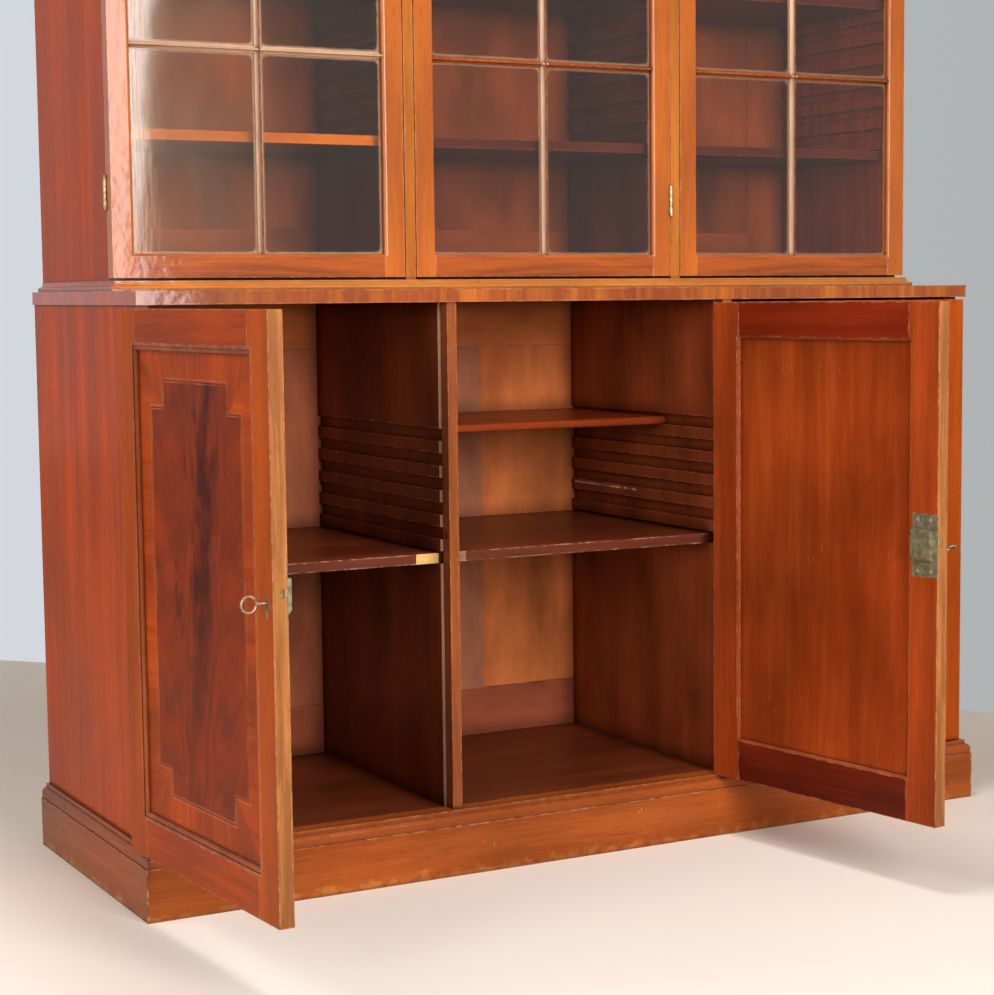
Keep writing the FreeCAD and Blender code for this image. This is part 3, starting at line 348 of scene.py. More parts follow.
figureGroup = woodFigure()
wearGroup = arrisWear()
axisOrder = {"Z": (0, 1, 2), "X": (2, 1, 0), "Y": (0, 2, 1)}   # which axis the grain runs along

looks = {   # light tone, dark tone, and how strongly the ribbon figure shows
    "side": ("#c84c0c", "#a23c0c", 0.5),
    "lowerStile": ("#c65a14", "#a04410", 0.25),
    "stile": ("#d0721a", "#a85210", 0.3),
    "rail": ("#c85210", "#983a10", 0.5),
    "middleStrip": ("#ac5e2a", "#84421e", 0.5),
    "upperRail": ("#c05e14", "#8a400e", 0.7),
    "baseMoulding": ("#d68a38", "#b4641e", 0.5),
    "strip": ("#c87a2c", "#a45a1c", 0.3),
    "insideStile": ("#c05020", "#8c3814", 0.4),
    "insideTopRail": ("#9c3414", "#74220c", 0.3),
    "insideFootRail": ("#842c14", "#54180c", 0.4),
    "insidePanel": ("#a84c1c", "#843010", 0.3),
    "chamfer": ("#b4603c", "#86381c", 0.4),
    "bareEdge": ("#d08848", "#905830", 0.9),
    "crossband": ("#c85410", "#90340c", 1.0),
    "flame": ("#a03a10", "#782a0c", 0.8),
    "moulding": ("#c06a3c", "#8c3e1c", 0.4),
    "topEdge": ("#bc6818", "#90400c", 0.8),
    "plinth": ("#b86024", "#8e4214", 0.35),
    "plinthFoot": ("#c4843c", "#a8602a", 0.6),
    "plinthSide": ("#b05820", "#883c18", 0.35),
    "back": ("#dc8048", "#b05c30", 0.4),
    "backLeft": ("#cc7850", "#a0583c", 0.4),
    "backRail": ("#a8583a", "#8a4630", 0.3),
    "backMuntin": ("#c07a58", "#985a44", 0.4),
    # the partition tones hold painted shade and painted light: each case's left partition darker, the right
    # one and the sides' inner faces lighter
    "partition": ("#884220", "#5a2a14", 0.45),
    "partitionFar": ("#b85e34", "#82381c", 0.45),
    "partitionEdge": ("#cc9c80", "#946450", 0.5),
    "paint": ("#fff6ea", "#e0ccb4", 0.3),
    "shelf": ("#8c4020", "#602a18", 0.35),
    "shelfEdge": ("#6c3424", "#502418", 0.6),
    "patch": ("#e0b878", "#c89858", 0.5),
    "splice": ("#9c7458", "#7c5442", 0.5),
    # painted light on the front edges of the left bay's upper shelves
    "brightEdge": ("#eca028", "#c87818", 0.5),
    # painted highlight: the pale bars tone stands for light on the bars' sides; the darker barNose is painted
    # shade on the flat nose between them
    "bars": ("#e4c0a4", "#b88c6c", 0.3),
    "crossBars": ("#b86430", "#803c18", 0.3),
    "upperBack": ("#b46c3c", "#8c4e2a", 0.35),
    # painted deep shade on the upper case's left partition
    "upperPartition": ("#6e3018", "#3c180c", 0.45),
    "barNose": ("#8a4c30", "#6a3420", 0.3),
    "pine": ("#c09460", "#94683c", 0.8)}


def regionMask(tree, axes, point, tests):
    add = partial(addNode, tree)
    mask = None
    for axis, test, value, *reach in tests:
        if test == "near":
            one = add("ShaderNodeMath", {0: axes[axis], 1: value, 2: reach[0]}, operation="COMPARE")
        elif test == "fade":   # a ragged edge that strays to both sides
            stray, scale = wear["fadeReach"], 1 / wear["fadeGrain"]
            rough = add("ShaderNodeTexNoise", {"Vector": point, "Scale": scale, "Detail": 4.0})
            moved = add("ShaderNodeMath", {0: rough, 1: 2 * stray, 2: axes[axis]}, operation="MULTIPLY_ADD")
            one = add("ShaderNodeMapRange", {0: moved, 1: value + stray, 2: reach[0] + stray, 3: 1.0, 4: 0.0},
                      interpolation_type="SMOOTHSTEP")
        elif test == "broken":   # left in spots only
            scale = 1 / wear["brokenGrain"]
            rough = add("ShaderNodeTexNoise", {"Vector": point, "Scale": scale, "Detail": 3.0})
            one = add("ShaderNodeMapRange", {0: rough, 1: value, 2: value + 0.08})
        else:
            one = add("ShaderNodeMath", {0: axes[axis], 1: value}, operation=test)
        mask = one if mask is None else add("ShaderNodeMath", {0: mask, 1: one}, operation="MULTIPLY")
    return mask


def region(look, *where, along=None):
    # a look, the tests on the piece's millimetres that all have to pass, and the axis that its grain follows
    light, dark, ribbon = looks[look]
    return {"light": light, "dark": dark, "ribbon": ribbon, "where": where, "along": along}


def woodMaterial(name, regions, place=None, worn=0.55, wornColour=wear["colour"], mitre=None, coat=0.3,
                 flecks=0.25, patina=0.0):
    # the first region covers the piece, and each later one lies over those before it
    material, tree = newMaterial(name)
    add = partial(addNode, tree)
    point = placeVector(tree, place)
    apart = add("ShaderNodeSeparateXYZ", {0: point}).outputs
    axes = {"x": apart[0], "y": apart[1], "z": apart[2]}
    axes["out"] = add("ShaderNodeMath", {0: axes["x"]}, operation="ABSOLUTE")
    if mitre:   # half width and front of a moulding that turns two corners; above zero on its side lengths
        ahead = add("ShaderNodeMath", {0: axes["y"], 1: axes["out"]}, operation="ADD")
        axes["mitre"] = add("ShaderNodeMath", {0: ahead, 1: mitre[0] + mitre[1]}, operation="SUBTRACT")
    grain = light = dark = ribbon = None
    for part in regions:
        order = axisOrder[part["along"] or "Z"]
        turned = point
        if order != axisOrder["Z"]:
            turned = add("ShaderNodeCombineXYZ", {i: apart[axis] for i, axis in enumerate(order)})
        lightHere, darkHere = hexColour(part["light"]), hexColour(part["dark"])
        if grain is None:
            grain, light, dark, ribbon = turned, lightHere, darkHere, part["ribbon"]
            continue
        mask = regionMask(tree, axes, point, part["where"])
        if part["along"]:
            grain = add("ShaderNodeMix", {0: mask, 4: grain, 5: turned}, data_type="VECTOR")
        light = add("ShaderNodeMix", {0: mask, 6: light, 7: lightHere}, data_type="RGBA")
        dark = add("ShaderNodeMix", {0: mask, 6: dark, 7: darkHere}, data_type="RGBA")
        ribbon = add("ShaderNodeMix", {0: mask, 2: ribbon, 3: part["ribbon"]}, data_type="FLOAT")
    wood = add("ShaderNodeGroup", {"Grain": grain, "Light": light, "Dark": dark, "Ribbon": ribbon,
                                   "Patina": patina}, node_tree=figureGroup)
    # on aged inside boards the painted shade reaches further out from the corners
    crevice = wear["corner"] if patina else wear["crevice"]
    edges = add("ShaderNodeGroup", {"Spot": point, "Amount": worn, "Flecks": flecks, "Crevice": crevice},
                node_tree=wearGroup)
    return finishWood(material, tree, point, wood.outputs["Color"], wood.outputs, edges.outputs, wornColour,
                      coat)


def finishWood(material, tree, point, colour, wood, edges, wornColour, coat):
    # open-pored wood under thin shellac that has pooled a little
    add = partial(addNode, tree)
    colour = add("ShaderNodeMix", {0: edges["Worn"], 6: colour, 7: hexColour(wornColour)}, data_type="RGBA")
    # painted shade: darker in corners and where parts meet
    shade = add("ShaderNodeMapRange", {0: edges["Dirt"], 3: 1.0, 4: 0.3})
    colour = add("ShaderNodeVectorMath", {0: colour, 3: shade}, operation="SCALE")
    bump = add("ShaderNodeBump", {"Height": wood["Height"], "Strength": 0.22, "Distance": 0.0006,
                                  "Normal": edges["Normal"]})
    pools = add("ShaderNodeTexNoise", {"Vector": point, "Scale": 1 / wear["pools"], "Detail": 2.0})
    lacquer = add("ShaderNodeBump", {"Height": pools, "Strength": 0.35, "Distance": 0.0012,
                                     "Normal": edges["Normal"]})
    shader = add("ShaderNodeBsdfPrincipled", {
        "Base Color": colour, "Roughness": wood["Roughness"], "Normal": bump, "IOR": 1.5,
        "Specular IOR Level": 0.05, "Coat Normal": lacquer, "Coat Weight": coat, "Coat Roughness": 0.1})
    add("ShaderNodeOutputMaterial", {0: shader})
    return material


def dress(node, material):
    slots = nodes[node].data.materials
    if len(slots) == 0:
        slots.append(material)
    for index in range(len(slots)):
        slots[index] = material


# carcase, in millimetres: half its width, its front, and the back's outer stiles and rails

carcase = {"lower": {"half": 741.0, "front": -225.0, "stile": 637.0, "footRail": 185.0, "topRail": 800.0},
           "upper": {"half": 726.0, "front": -75.0, "stile": 622.0, "footRail": 1002.0, "topRail": 2143.0}}
# half the width and the front of what turns the two front corners
mitres = {"edging": (744.0, -249.7), "baseMoulding": (734.5, -114.2), "cornice": (726.0, -97.7),
          "plinth": (755.0, -264.0)}
onSides = ("mitre", "GREATER_THAN", 0.0)
for case, size in carcase.items():
    low = case == "lower"
    dress(case + "_sides", woodMaterial(case + "SideMahogany", [   # outside, inside in the lighter partition tone as painted light, and front edge
        region("side"), region("partitionFar", ("out", "LESS_THAN", size["half"] - 0.5)),
        region("lowerStile", ("y", "LESS_THAN", size["front"] + 0.3))], worn=0.5, coat=0.14))
    dress(case + "_partitions", woodMaterial(case + "PartitionMahogany", [   # dull with age; the left partition is painted darker as painted shade, the right one lighter as painted light
        region("partition" if low else "upperPartition"),
        region("partitionFar" if low else "partition", ("x", "GREATER_THAN", 0.0)),
        region("paint", ("x", "near", 234.0, 14.0), ("y", "near", 120.0, 112.0), ("z", "near", 550.5, 1.7),
               ("x", "broken", 0.44)),   # a smear of pale paint along one batten
        region("partitionEdge", ("y", "LESS_THAN", size["front"] + 0.4))],
        worn=0.8, coat=0.12, flecks=0.5, patina=0.8))
    strips = [region("strip"), region("middleStrip", ("x", "near", -250.0, 40.0))]
    dress(case + "_door_strips", woodMaterial(case + "StripMahogany", strips if low else strips[:1],
                                              worn=0.5))
    board = "back" if low else "upperBack"
    within = ("out", "LESS_THAN", size["stile"])
    dress(case + "_back_frame", woodMaterial(case + "BackMahogany", [   # thin old polish, greyed
        region("backMuntin" if low else board), region(board, ("out", "GREATER_THAN", size["stile"])),
        region(board, within, ("z", "GREATER_THAN", size["topRail"]), along="X"),
        region("backRail" if low else board, within, ("z", "LESS_THAN", size["footRail"]), along="X")],
        worn=0.3, coat=0.05, flecks=0.4, patina=0.9))
    dress(case + "_back_panels", woodMaterial(case + "BackPanelMahogany", [
        region(board),
        region("backLeft" if low else board, ("x", "LESS_THAN", -260.0), ("y", "LESS_THAN", 250.0))],
        worn=0.2, coat=0.05, flecks=0.6, patina=0.9))
dress("lower_floor_board", woodMaterial("floorMahogany", [
    region("shelf", along="X"), region("shelfEdge", ("y", "LESS_THAN", -224.7))],
    worn=0.7, coat=0.12, flecks=0.8, patina=0.4))
dress("lower_shelves", woodMaterial("shelfMahogany", [
    region("shelf", along="X"), region("shelfEdge", ("y", "LESS_THAN", -215.2)),
    region("patch", ("y", "LESS_THAN", -213.0), ("x", "near", -281.0, 19.0)),   # let-in piece of paler wood
    region("splice", ("y", "LESS_THAN", -212.0), ("x", "near", -230.0, 15.0))],
    worn=0.9, coat=0.12, flecks=0.6, patina=0.5))
dress("lower_half_shelf", woodMaterial("halfShelfMahogany", [region("insidePanel", along="X")],
                                       worn=0.4, coat=0.2))
dress("upper_shelves", woodMaterial("upperShelfMahogany", [
    region("shelf", along="X"), region("shelfEdge", ("y", "LESS_THAN", -60.7)),
    # painted light: the left bay's upper shelf edges are painted bright, as if lit
    region("brightEdge", ("y", "LESS_THAN", -60.7), ("x", "LESS_THAN", -250.0))], worn=0.5, coat=0.12))
for node in ("upper_floor_board", "upper_top_board"):
    dress(node, woodMaterial(node.replace("_", "") + "Mahogany", [region("shelf", along="X")], coat=0.12))
dress("lower_top_board", woodMaterial("topBoardMahogany", [region("rail", along="X")]))
dress("lower_top_edging", woodMaterial("crossbandedEdging", [   # short grain laid across the edge
    region("topEdge"), region("side", onSides)], mitre=mitres["edging"], worn=0.5, coat=0.9))
dress("upper_base_moulding", woodMaterial("baseMouldingMahogany", [
    region("baseMoulding", along="X"), region("side", onSides, along="Y")],
    mitre=mitres["baseMoulding"], worn=0.5, coat=0.8))
dress("cornice", woodMaterial("corniceMahogany", [
    region("rail", along="X"), region("side", onSides, along="Y")], mitre=mitres["cornice"], worn=0.5))
plinthWoods = [region("plinth", along="X"), region("plinthSide", onSides, along="Y")]
dress("plinth_boards", woodMaterial("plinthMahogany", plinthWoods + [   # kicked and mopped for years
    region("plinthFoot", ("z", "fade", -4.0, 14.0))],
    mitre=mitres["plinth"], worn=0.8, wornColour="#e8c090", flecks=0.5))
dress("plinth_moulding", woodMaterial("plinthMouldingMahogany", plinthWoods,
                                      mitre=mitres["plinth"], worn=0.6, flecks=0.5))
for node in ("plinth_bearers", "plinth_glue_blocks"):
    dress(node, woodMaterial(node.replace("_", "") + "Pine", [region("pine", along="X")], worn=0.2, coat=0.0))
print("carcase woods")

# doors

panel = {"middle": 242.0, "centre": 493.2, "halfWidth": 145.0, "halfHeight": 286.8, "stepWide": 42.0,
         "stepHigh": 38.0, "lineGap": 5.0, "line": 1.1, "lineColour": "#c08a5c", "lineFade": 60.0,
         "back": 12.0, "spine": 10.0, "spineLean": 0.12, "spineFrom": 40.0, "spineTo": 96.0,
         "spineColour": "#3c120a", "spineFoot": (-230.0, 20.0),
         "secondSpine": -72.0, "secondFrom": 8.0, "secondTo": 30.0,
         "wander": 50.0, "wanderLength": 150.0, "ragged": (20.0, 44.0), "raggedReach": 90.0,
         "straightTo": 20.0, "straightStretch": 2.5, "plumesFrom": 60.0, "plumeStretch": 4.0,
         "fan": (-0.0022, 1.6), "coat": 0.05,
         "plume": 32.0}   # degrees that the plumes lean away from the spine


def steppedOutline(tree, wide, high):
    # below zero inside a rectangle with a step cut out of each corner
    add = partial(addNode, tree)
    outline = None
    for halfWide, halfHigh in ((panel["halfWidth"] - panel["stepWide"], panel["halfHeight"]),
                               (panel["halfWidth"], panel["halfHeight"] - panel["stepHigh"])):
        side = add("ShaderNodeMath", {0: wide, 1: halfWide}, operation="SUBTRACT")
        end = add("ShaderNodeMath", {0: high, 1: halfHigh}, operation="SUBTRACT")
        one = add("ShaderNodeMath", {0: side, 1: end}, operation="MAXIMUM")
        outline = one if outline is None else add("ShaderNodeMath", {0: outline, 1: one}, operation="MINIMUM")
    return outline


def plumeGrain(tree, point, depth, feather, up):
    # straight beside the spine, then plumes that rise away from it
    add = partial(addNode, tree)
    lean, stretch = math.radians(panel["plume"]), panel["plumeStretch"]
    across = add("ShaderNodeMath", {0: up, 1: -math.sin(lean)}, operation="MULTIPLY")
    across = add("ShaderNodeMath", {0: feather, 1: math.cos(lean), 2: across}, operation="MULTIPLY_ADD")
    along = add("ShaderNodeMath", {0: up, 1: stretch * math.cos(lean)}, operation="MULTIPLY")
    along = add("ShaderNodeMath", {0: feather, 1: stretch * math.sin(lean), 2: along},
                operation="MULTIPLY_ADD")
    plumes = add("ShaderNodeCombineXYZ", {0: across, 1: depth, 2: along})
    straight = add("ShaderNodeVectorMath", {0: point, 1: (1.0, 1.0, panel["straightStretch"])},
                   operation="MULTIPLY")
    far = add("ShaderNodeMapRange", {0: feather, 1: panel["straightTo"], 2: panel["plumesFrom"]})
    return add("ShaderNodeMix", {0: far, 4: straight, 5: plumes}, data_type="VECTOR")


def bandGrain(tree, depth, across, up, wide, high):
    # crossbanding: short grain square to the nearer edge, fanned a little along the top and foot
    add = partial(addNode, tree)
    corner = panel["halfHeight"] - panel["halfWidth"]
    topBand = add("ShaderNodeMath", {0: high, 1: corner}, operation="SUBTRACT")
    isTop = add("ShaderNodeMath", {0: topBand, 1: wide}, operation="GREATER_THAN")
    slope, full = panel["fan"]
    fan = add("ShaderNodeMath", {0: high, 1: slope, 2: full}, operation="MULTIPLY_ADD")
    fanned = add("ShaderNodeMath", {0: across, 1: fan}, operation="MULTIPLY")
    topGrain = add("ShaderNodeCombineXYZ", {0: fanned, 1: depth, 2: up})
    sideGrain = add("ShaderNodeCombineXYZ", {0: up, 1: depth, 2: across})
    return add("ShaderNodeMix", {0: isTop, 4: sideGrain, 5: topGrain}, data_type="VECTOR")


def spineDarkness(tree, point, aside, feather, up):
    # a dark spine that fades towards its foot, and a thinner, broken one beside it
    add = partial(addNode, tree)
    ragged = add("ShaderNodeVectorMath", {0: point, 1: perMillimetre(*panel["ragged"])}, operation="MULTIPLY")
    ragged = add("ShaderNodeTexNoise", {"Vector": ragged, "Scale": 1.0, "Detail": 4.0})
    edge = add("ShaderNodeMath", {0: ragged, 1: panel["raggedReach"], 2: feather}, operation="MULTIPLY_ADD")
    core = add("ShaderNodeMapRange", {0: edge, 1: panel["spineFrom"], 2: panel["spineTo"], 3: 0.95, 4: 0.0},
               interpolation_type="SMOOTHSTEP")
    foot, full = panel["spineFoot"]
    lower = add("ShaderNodeMapRange", {0: up, 1: foot, 2: full, 3: 0.2, 4: 1.0})
    core = add("ShaderNodeMath", {0: core, 1: lower}, operation="MULTIPLY")
    besides = add("ShaderNodeMath", {0: aside, 1: -panel["secondSpine"]}, operation="ADD")
    besides = add("ShaderNodeMath", {0: besides}, operation="ABSOLUTE")
    blotch = add("ShaderNodeMapRange", {0: ragged, 1: 0.54, 2: 0.68, 3: 0.0, 4: 0.6},
                 interpolation_type="SMOOTHSTEP")
    start, end = panel["secondFrom"], panel["secondTo"]
    thin = add("ShaderNodeMapRange", {0: besides, 1: start, 2: end, 3: 1.0, 4: 0.0},
               interpolation_type="SMOOTHSTEP")
    thin = add("ShaderNodeMath", {0: thin, 1: blotch}, operation="MULTIPLY")
    return add("ShaderNodeMath", {0: core, 1: thin}, operation="MAXIMUM")


def panelMaterial(name):
    # crotch-cut veneer with a dark spine, in a stepped outline of two pale strings, crossbanded outside them
    material, tree = newMaterial(name + "_flameMahogany")
    add = partial(addNode, tree)
    point = placeVector(tree, name)
    apart = add("ShaderNodeSeparateXYZ", {0: point}).outputs
    depth = apart[1]
    across = add("ShaderNodeMath", {0: apart[0], 1: panel["middle"]}, operation="SUBTRACT")
    up = add("ShaderNodeMath", {0: apart[2], 1: panel["centre"]}, operation="SUBTRACT")
    wide = add("ShaderNodeMath", {0: across}, operation="ABSOLUTE")
    high = add("ShaderNodeMath", {0: up}, operation="ABSOLUTE")
    outline = steppedOutline(tree, wide, high)
    inField = add("ShaderNodeMath", {0: outline, 1: 0.0}, operation="LESS_THAN")
    isBack = add("ShaderNodeMath", {0: depth, 1: panel["back"]}, operation="GREATER_THAN")
    isFront = add("ShaderNodeMath", {0: 1.0, 1: isBack}, operation="SUBTRACT")
    # the spine wanders a little
    slow = add("ShaderNodeMath", {0: up, 1: 1 / panel["wanderLength"]}, operation="MULTIPLY")
    slow = add("ShaderNodeCombineXYZ", {2: slow})
    wander = add("ShaderNodeTexNoise", {"Vector": slow, "Scale": 1.0, "Detail": 1.5})
    start = panel["spine"] - panel["wander"] / 2
    spine = add("ShaderNodeMath", {0: wander, 1: panel["wander"], 2: start}, operation="MULTIPLY_ADD")
    spine = add("ShaderNodeMath", {0: up, 1: panel["spineLean"], 2: spine}, operation="MULTIPLY_ADD")
    aside = add("ShaderNodeMath", {0: across, 1: spine}, operation="SUBTRACT")
    feather = add("ShaderNodeMath", {0: aside}, operation="ABSOLUTE")
    flame = plumeGrain(tree, point, depth, feather, up)
    band = bandGrain(tree, depth, across, up, wide, high)
    grain = add("ShaderNodeMix", {0: inField, 4: band, 5: flame}, data_type="VECTOR")
    grain = add("ShaderNodeMix", {0: isBack, 4: grain, 5: point}, data_type="VECTOR")
    tones = []
    parts = ("crossband", "flame", "insidePanel")
    for tone in (0, 1):   # light, dark
        banded, flamed, plain = (hexColour(looks[part][tone]) for part in parts)
        shown = add("ShaderNodeMix", {0: inField, 6: banded, 7: flamed}, data_type="RGBA")
        tones.append(add("ShaderNodeMix", {0: isBack, 6: shown, 7: plain}, data_type="RGBA"))
    wood = add("ShaderNodeGroup", {"Grain": grain, "Light": tones[0], "Dark": tones[1], "Ribbon": 0.5,
                                   "Patina": 0.35}, node_tree=figureGroup).outputs
    darkness = spineDarkness(tree, point, aside, feather, up)
    darkness = add("ShaderNodeMath", {0: darkness, 1: inField}, operation="MULTIPLY")
    darkness = add("ShaderNodeMath", {0: darkness, 1: isFront}, operation="MULTIPLY")
    colour = add("ShaderNodeMix", {0: darkness, 6: wood["Color"], 7: hexColour(panel["spineColour"])},
                 data_type="RGBA")
    # strings, faded here and there
    away = add("ShaderNodeMath", {0: outline}, operation="ABSOLUTE")
    string = add("ShaderNodeMath", {0: away, 1: panel["lineGap"] / 2, 2: panel["line"] / 2},
                 operation="COMPARE")
    faded = add("ShaderNodeTexNoise", {"Vector": point, "Scale": 1 / panel["lineFade"], "Detail": 3.0})
    faded = add("ShaderNodeMapRange", {0: faded, 1: 0.4, 2: 0.62, 3: 0.12, 4: 0.75})
    string = add("ShaderNodeMath", {0: string, 1: faded}, operation="MULTIPLY")
    string = add("ShaderNodeMath", {0: string, 1: isFront}, operation="MULTIPLY")
    colour = add("ShaderNodeMix", {0: string, 6: colour, 7: hexColour(panel["lineColour"])}, data_type="RGBA")
    edges = add("ShaderNodeGroup", {"Spot": point, "Flecks": 0.35, "Crevice": wear["crevice"]},
                node_tree=wearGroup).outputs
    return finishWood(material, tree, point, colour, wood, edges, wear["colour"], panel["coat"])


for name, door in doors.items():
    low = name.startswith("lower")
    middle, stile = door["width"] / 2, door["stile"]
    isRail = ("x", "near", middle, middle - stile)
    inside = ("y", "GREATER_THAN", door["thick"] - 0.25)
    regions = [region("lowerStile" if low else "stile"),
               region("rail" if low else "upperRail", isRail, along="X")]
    if low:
        heightMiddle, halfOpening = (door["foot"] + door["head"]) / 2, (door["head"] - door["foot"]) / 2
        bevel = door["chamfer"] + 0.5
        regions += [region("insideStile", inside),
                    region("insideTopRail", inside, isRail, ("z", "GREATER_THAN", heightMiddle)),
                    region("insideFootRail", inside, isRail, ("z", "LESS_THAN", heightMiddle)),
                    region("chamfer", ("y", "near", door["thick"] - 2.1, 1.95),
                           ("x", "near", middle, middle - stile + bevel),
                           ("z", "near", heightMiddle, halfOpening - door["topRail"] + bevel)),
                    region("bareEdge", ("x", "GREATER_THAN", door["width"] - 0.3))]
    dress(name + "_door_frame", woodMaterial(name + "_frameMahogany", regions, name,
                                             worn=0.6, coat=0.05 if low else 0.8))
    if low:
        dress(name + "_door_panel", panelMaterial(name))
        dress(name + "_door_moulding", woodMaterial(name + "_mouldingMahogany", [region("moulding")], name,
                                                    worn=0.3, coat=0.2))
    else:
        # painted highlight: each door's vertical bar, and every bar of the upper left door, take the pale
        # tone; the flat nose is painted darker as painted shade
        dress(name + "_door_bars", woodMaterial(name + "_barMahogany", [
            region("bars" if name == "upper_left" else "crossBars", along="X"),
            region("bars", ("x", "near", middle, 5.6), along="Z"),
            region("barNose", ("x", "near", middle, 1.6), ("y", "LESS_THAN", 2.0))], name, worn=0.3))
print("door woods")

# brass, steel and glass; bare is the share that no tarnish covers

metals = {
    "hingeBrass": {"colour": "#dcc8a0", "dull": "#a08458", "rough": 0.35, "bare": 0.85},   # rubbed knuckles
    "lockBrass": {"colour": "#908868", "dull": "#6c644a", "rough": 0.42, "bare": 0.45},    # dull olive
    "keySteel": {"colour": "#b89878", "dull": "#7a5a48", "rough": 0.4, "bare": 0.85},      # gone brown
    "screwSteel": {"colour": "#c8c4b8", "dull": "#98948a", "rough": 0.35, "bare": 0.4}}
tarnishSpot, metalArris = 9.0, 0.0005   # mm, and metres


def metalMaterial(name, look):
    material, tree = newMaterial(name)
    add = partial(addNode, tree)
    point = placeVector(tree, None)
    tarnish = add("ShaderNodeTexNoise", {"Vector": point, "Scale": 1 / tarnishSpot, "Detail": 4.0})
    rubbed = add("ShaderNodeMapRange", {0: tarnish, 1: 0.38, 2: 0.62})
    dull, bright = hexColour(look["dull"]), hexColour(look["colour"])
    colour = add("ShaderNodeMix", {0: rubbed, 6: dull, 7: bright}, data_type="RGBA")
    soft = add("ShaderNodeBevel", {"Radius": metalArris}, samples=3)
    rough = add("ShaderNodeMapRange", {0: tarnish, 1: 0.35, 2: 0.65, 3: look["rough"] + 0.15,
                                       4: look["rough"]})
    shader = add("ShaderNodeBsdfPrincipled", {"Base Color": colour, "Metallic": look["bare"],
                                              "Roughness": rough, "Normal": soft})
    add("ShaderNodeOutputMaterial", {0: shader})
    return material


brass, lockBrass, keySteel, screwSteel = (metalMaterial(name, look) for name, look in metals.items())
for node in nodes:
    if node.endswith("hinges"):
        dress(node, brass)
    elif node.endswith(("_lock", "_bolt")):
        dress(node, lockBrass)
    elif node.endswith("_key"):
        dress(node, keySteel)

glass = {"haze": "#ccac90", "dust": {"upper_left": 0.05, "upper_middle": 0.004, "upper_right": 0.003},
         "rim": {"upper_left": 0.34, "upper_middle": 0.22, "upper_right": 0.2},
         "smear": {"upper_left": 0.6, "upper_middle": 0.0, "upper_right": 0.0},
         "rimFrom": 1.5, "rimWidth": 4.5, "rimGrain": 14.0, "rimStray": 3.0, "cloud": 90.0,
         "dusty": (90.0, 300.0), "streak": (3.0, 70.0), "streaked": (44.0, 90.0),
         "wave": 0.05, "waveLength": 70.0,
         "column": (34.0, 195.9), "row": (36.0, 299.0), "bar": 11.0}   # first pane's start, and a pane's size


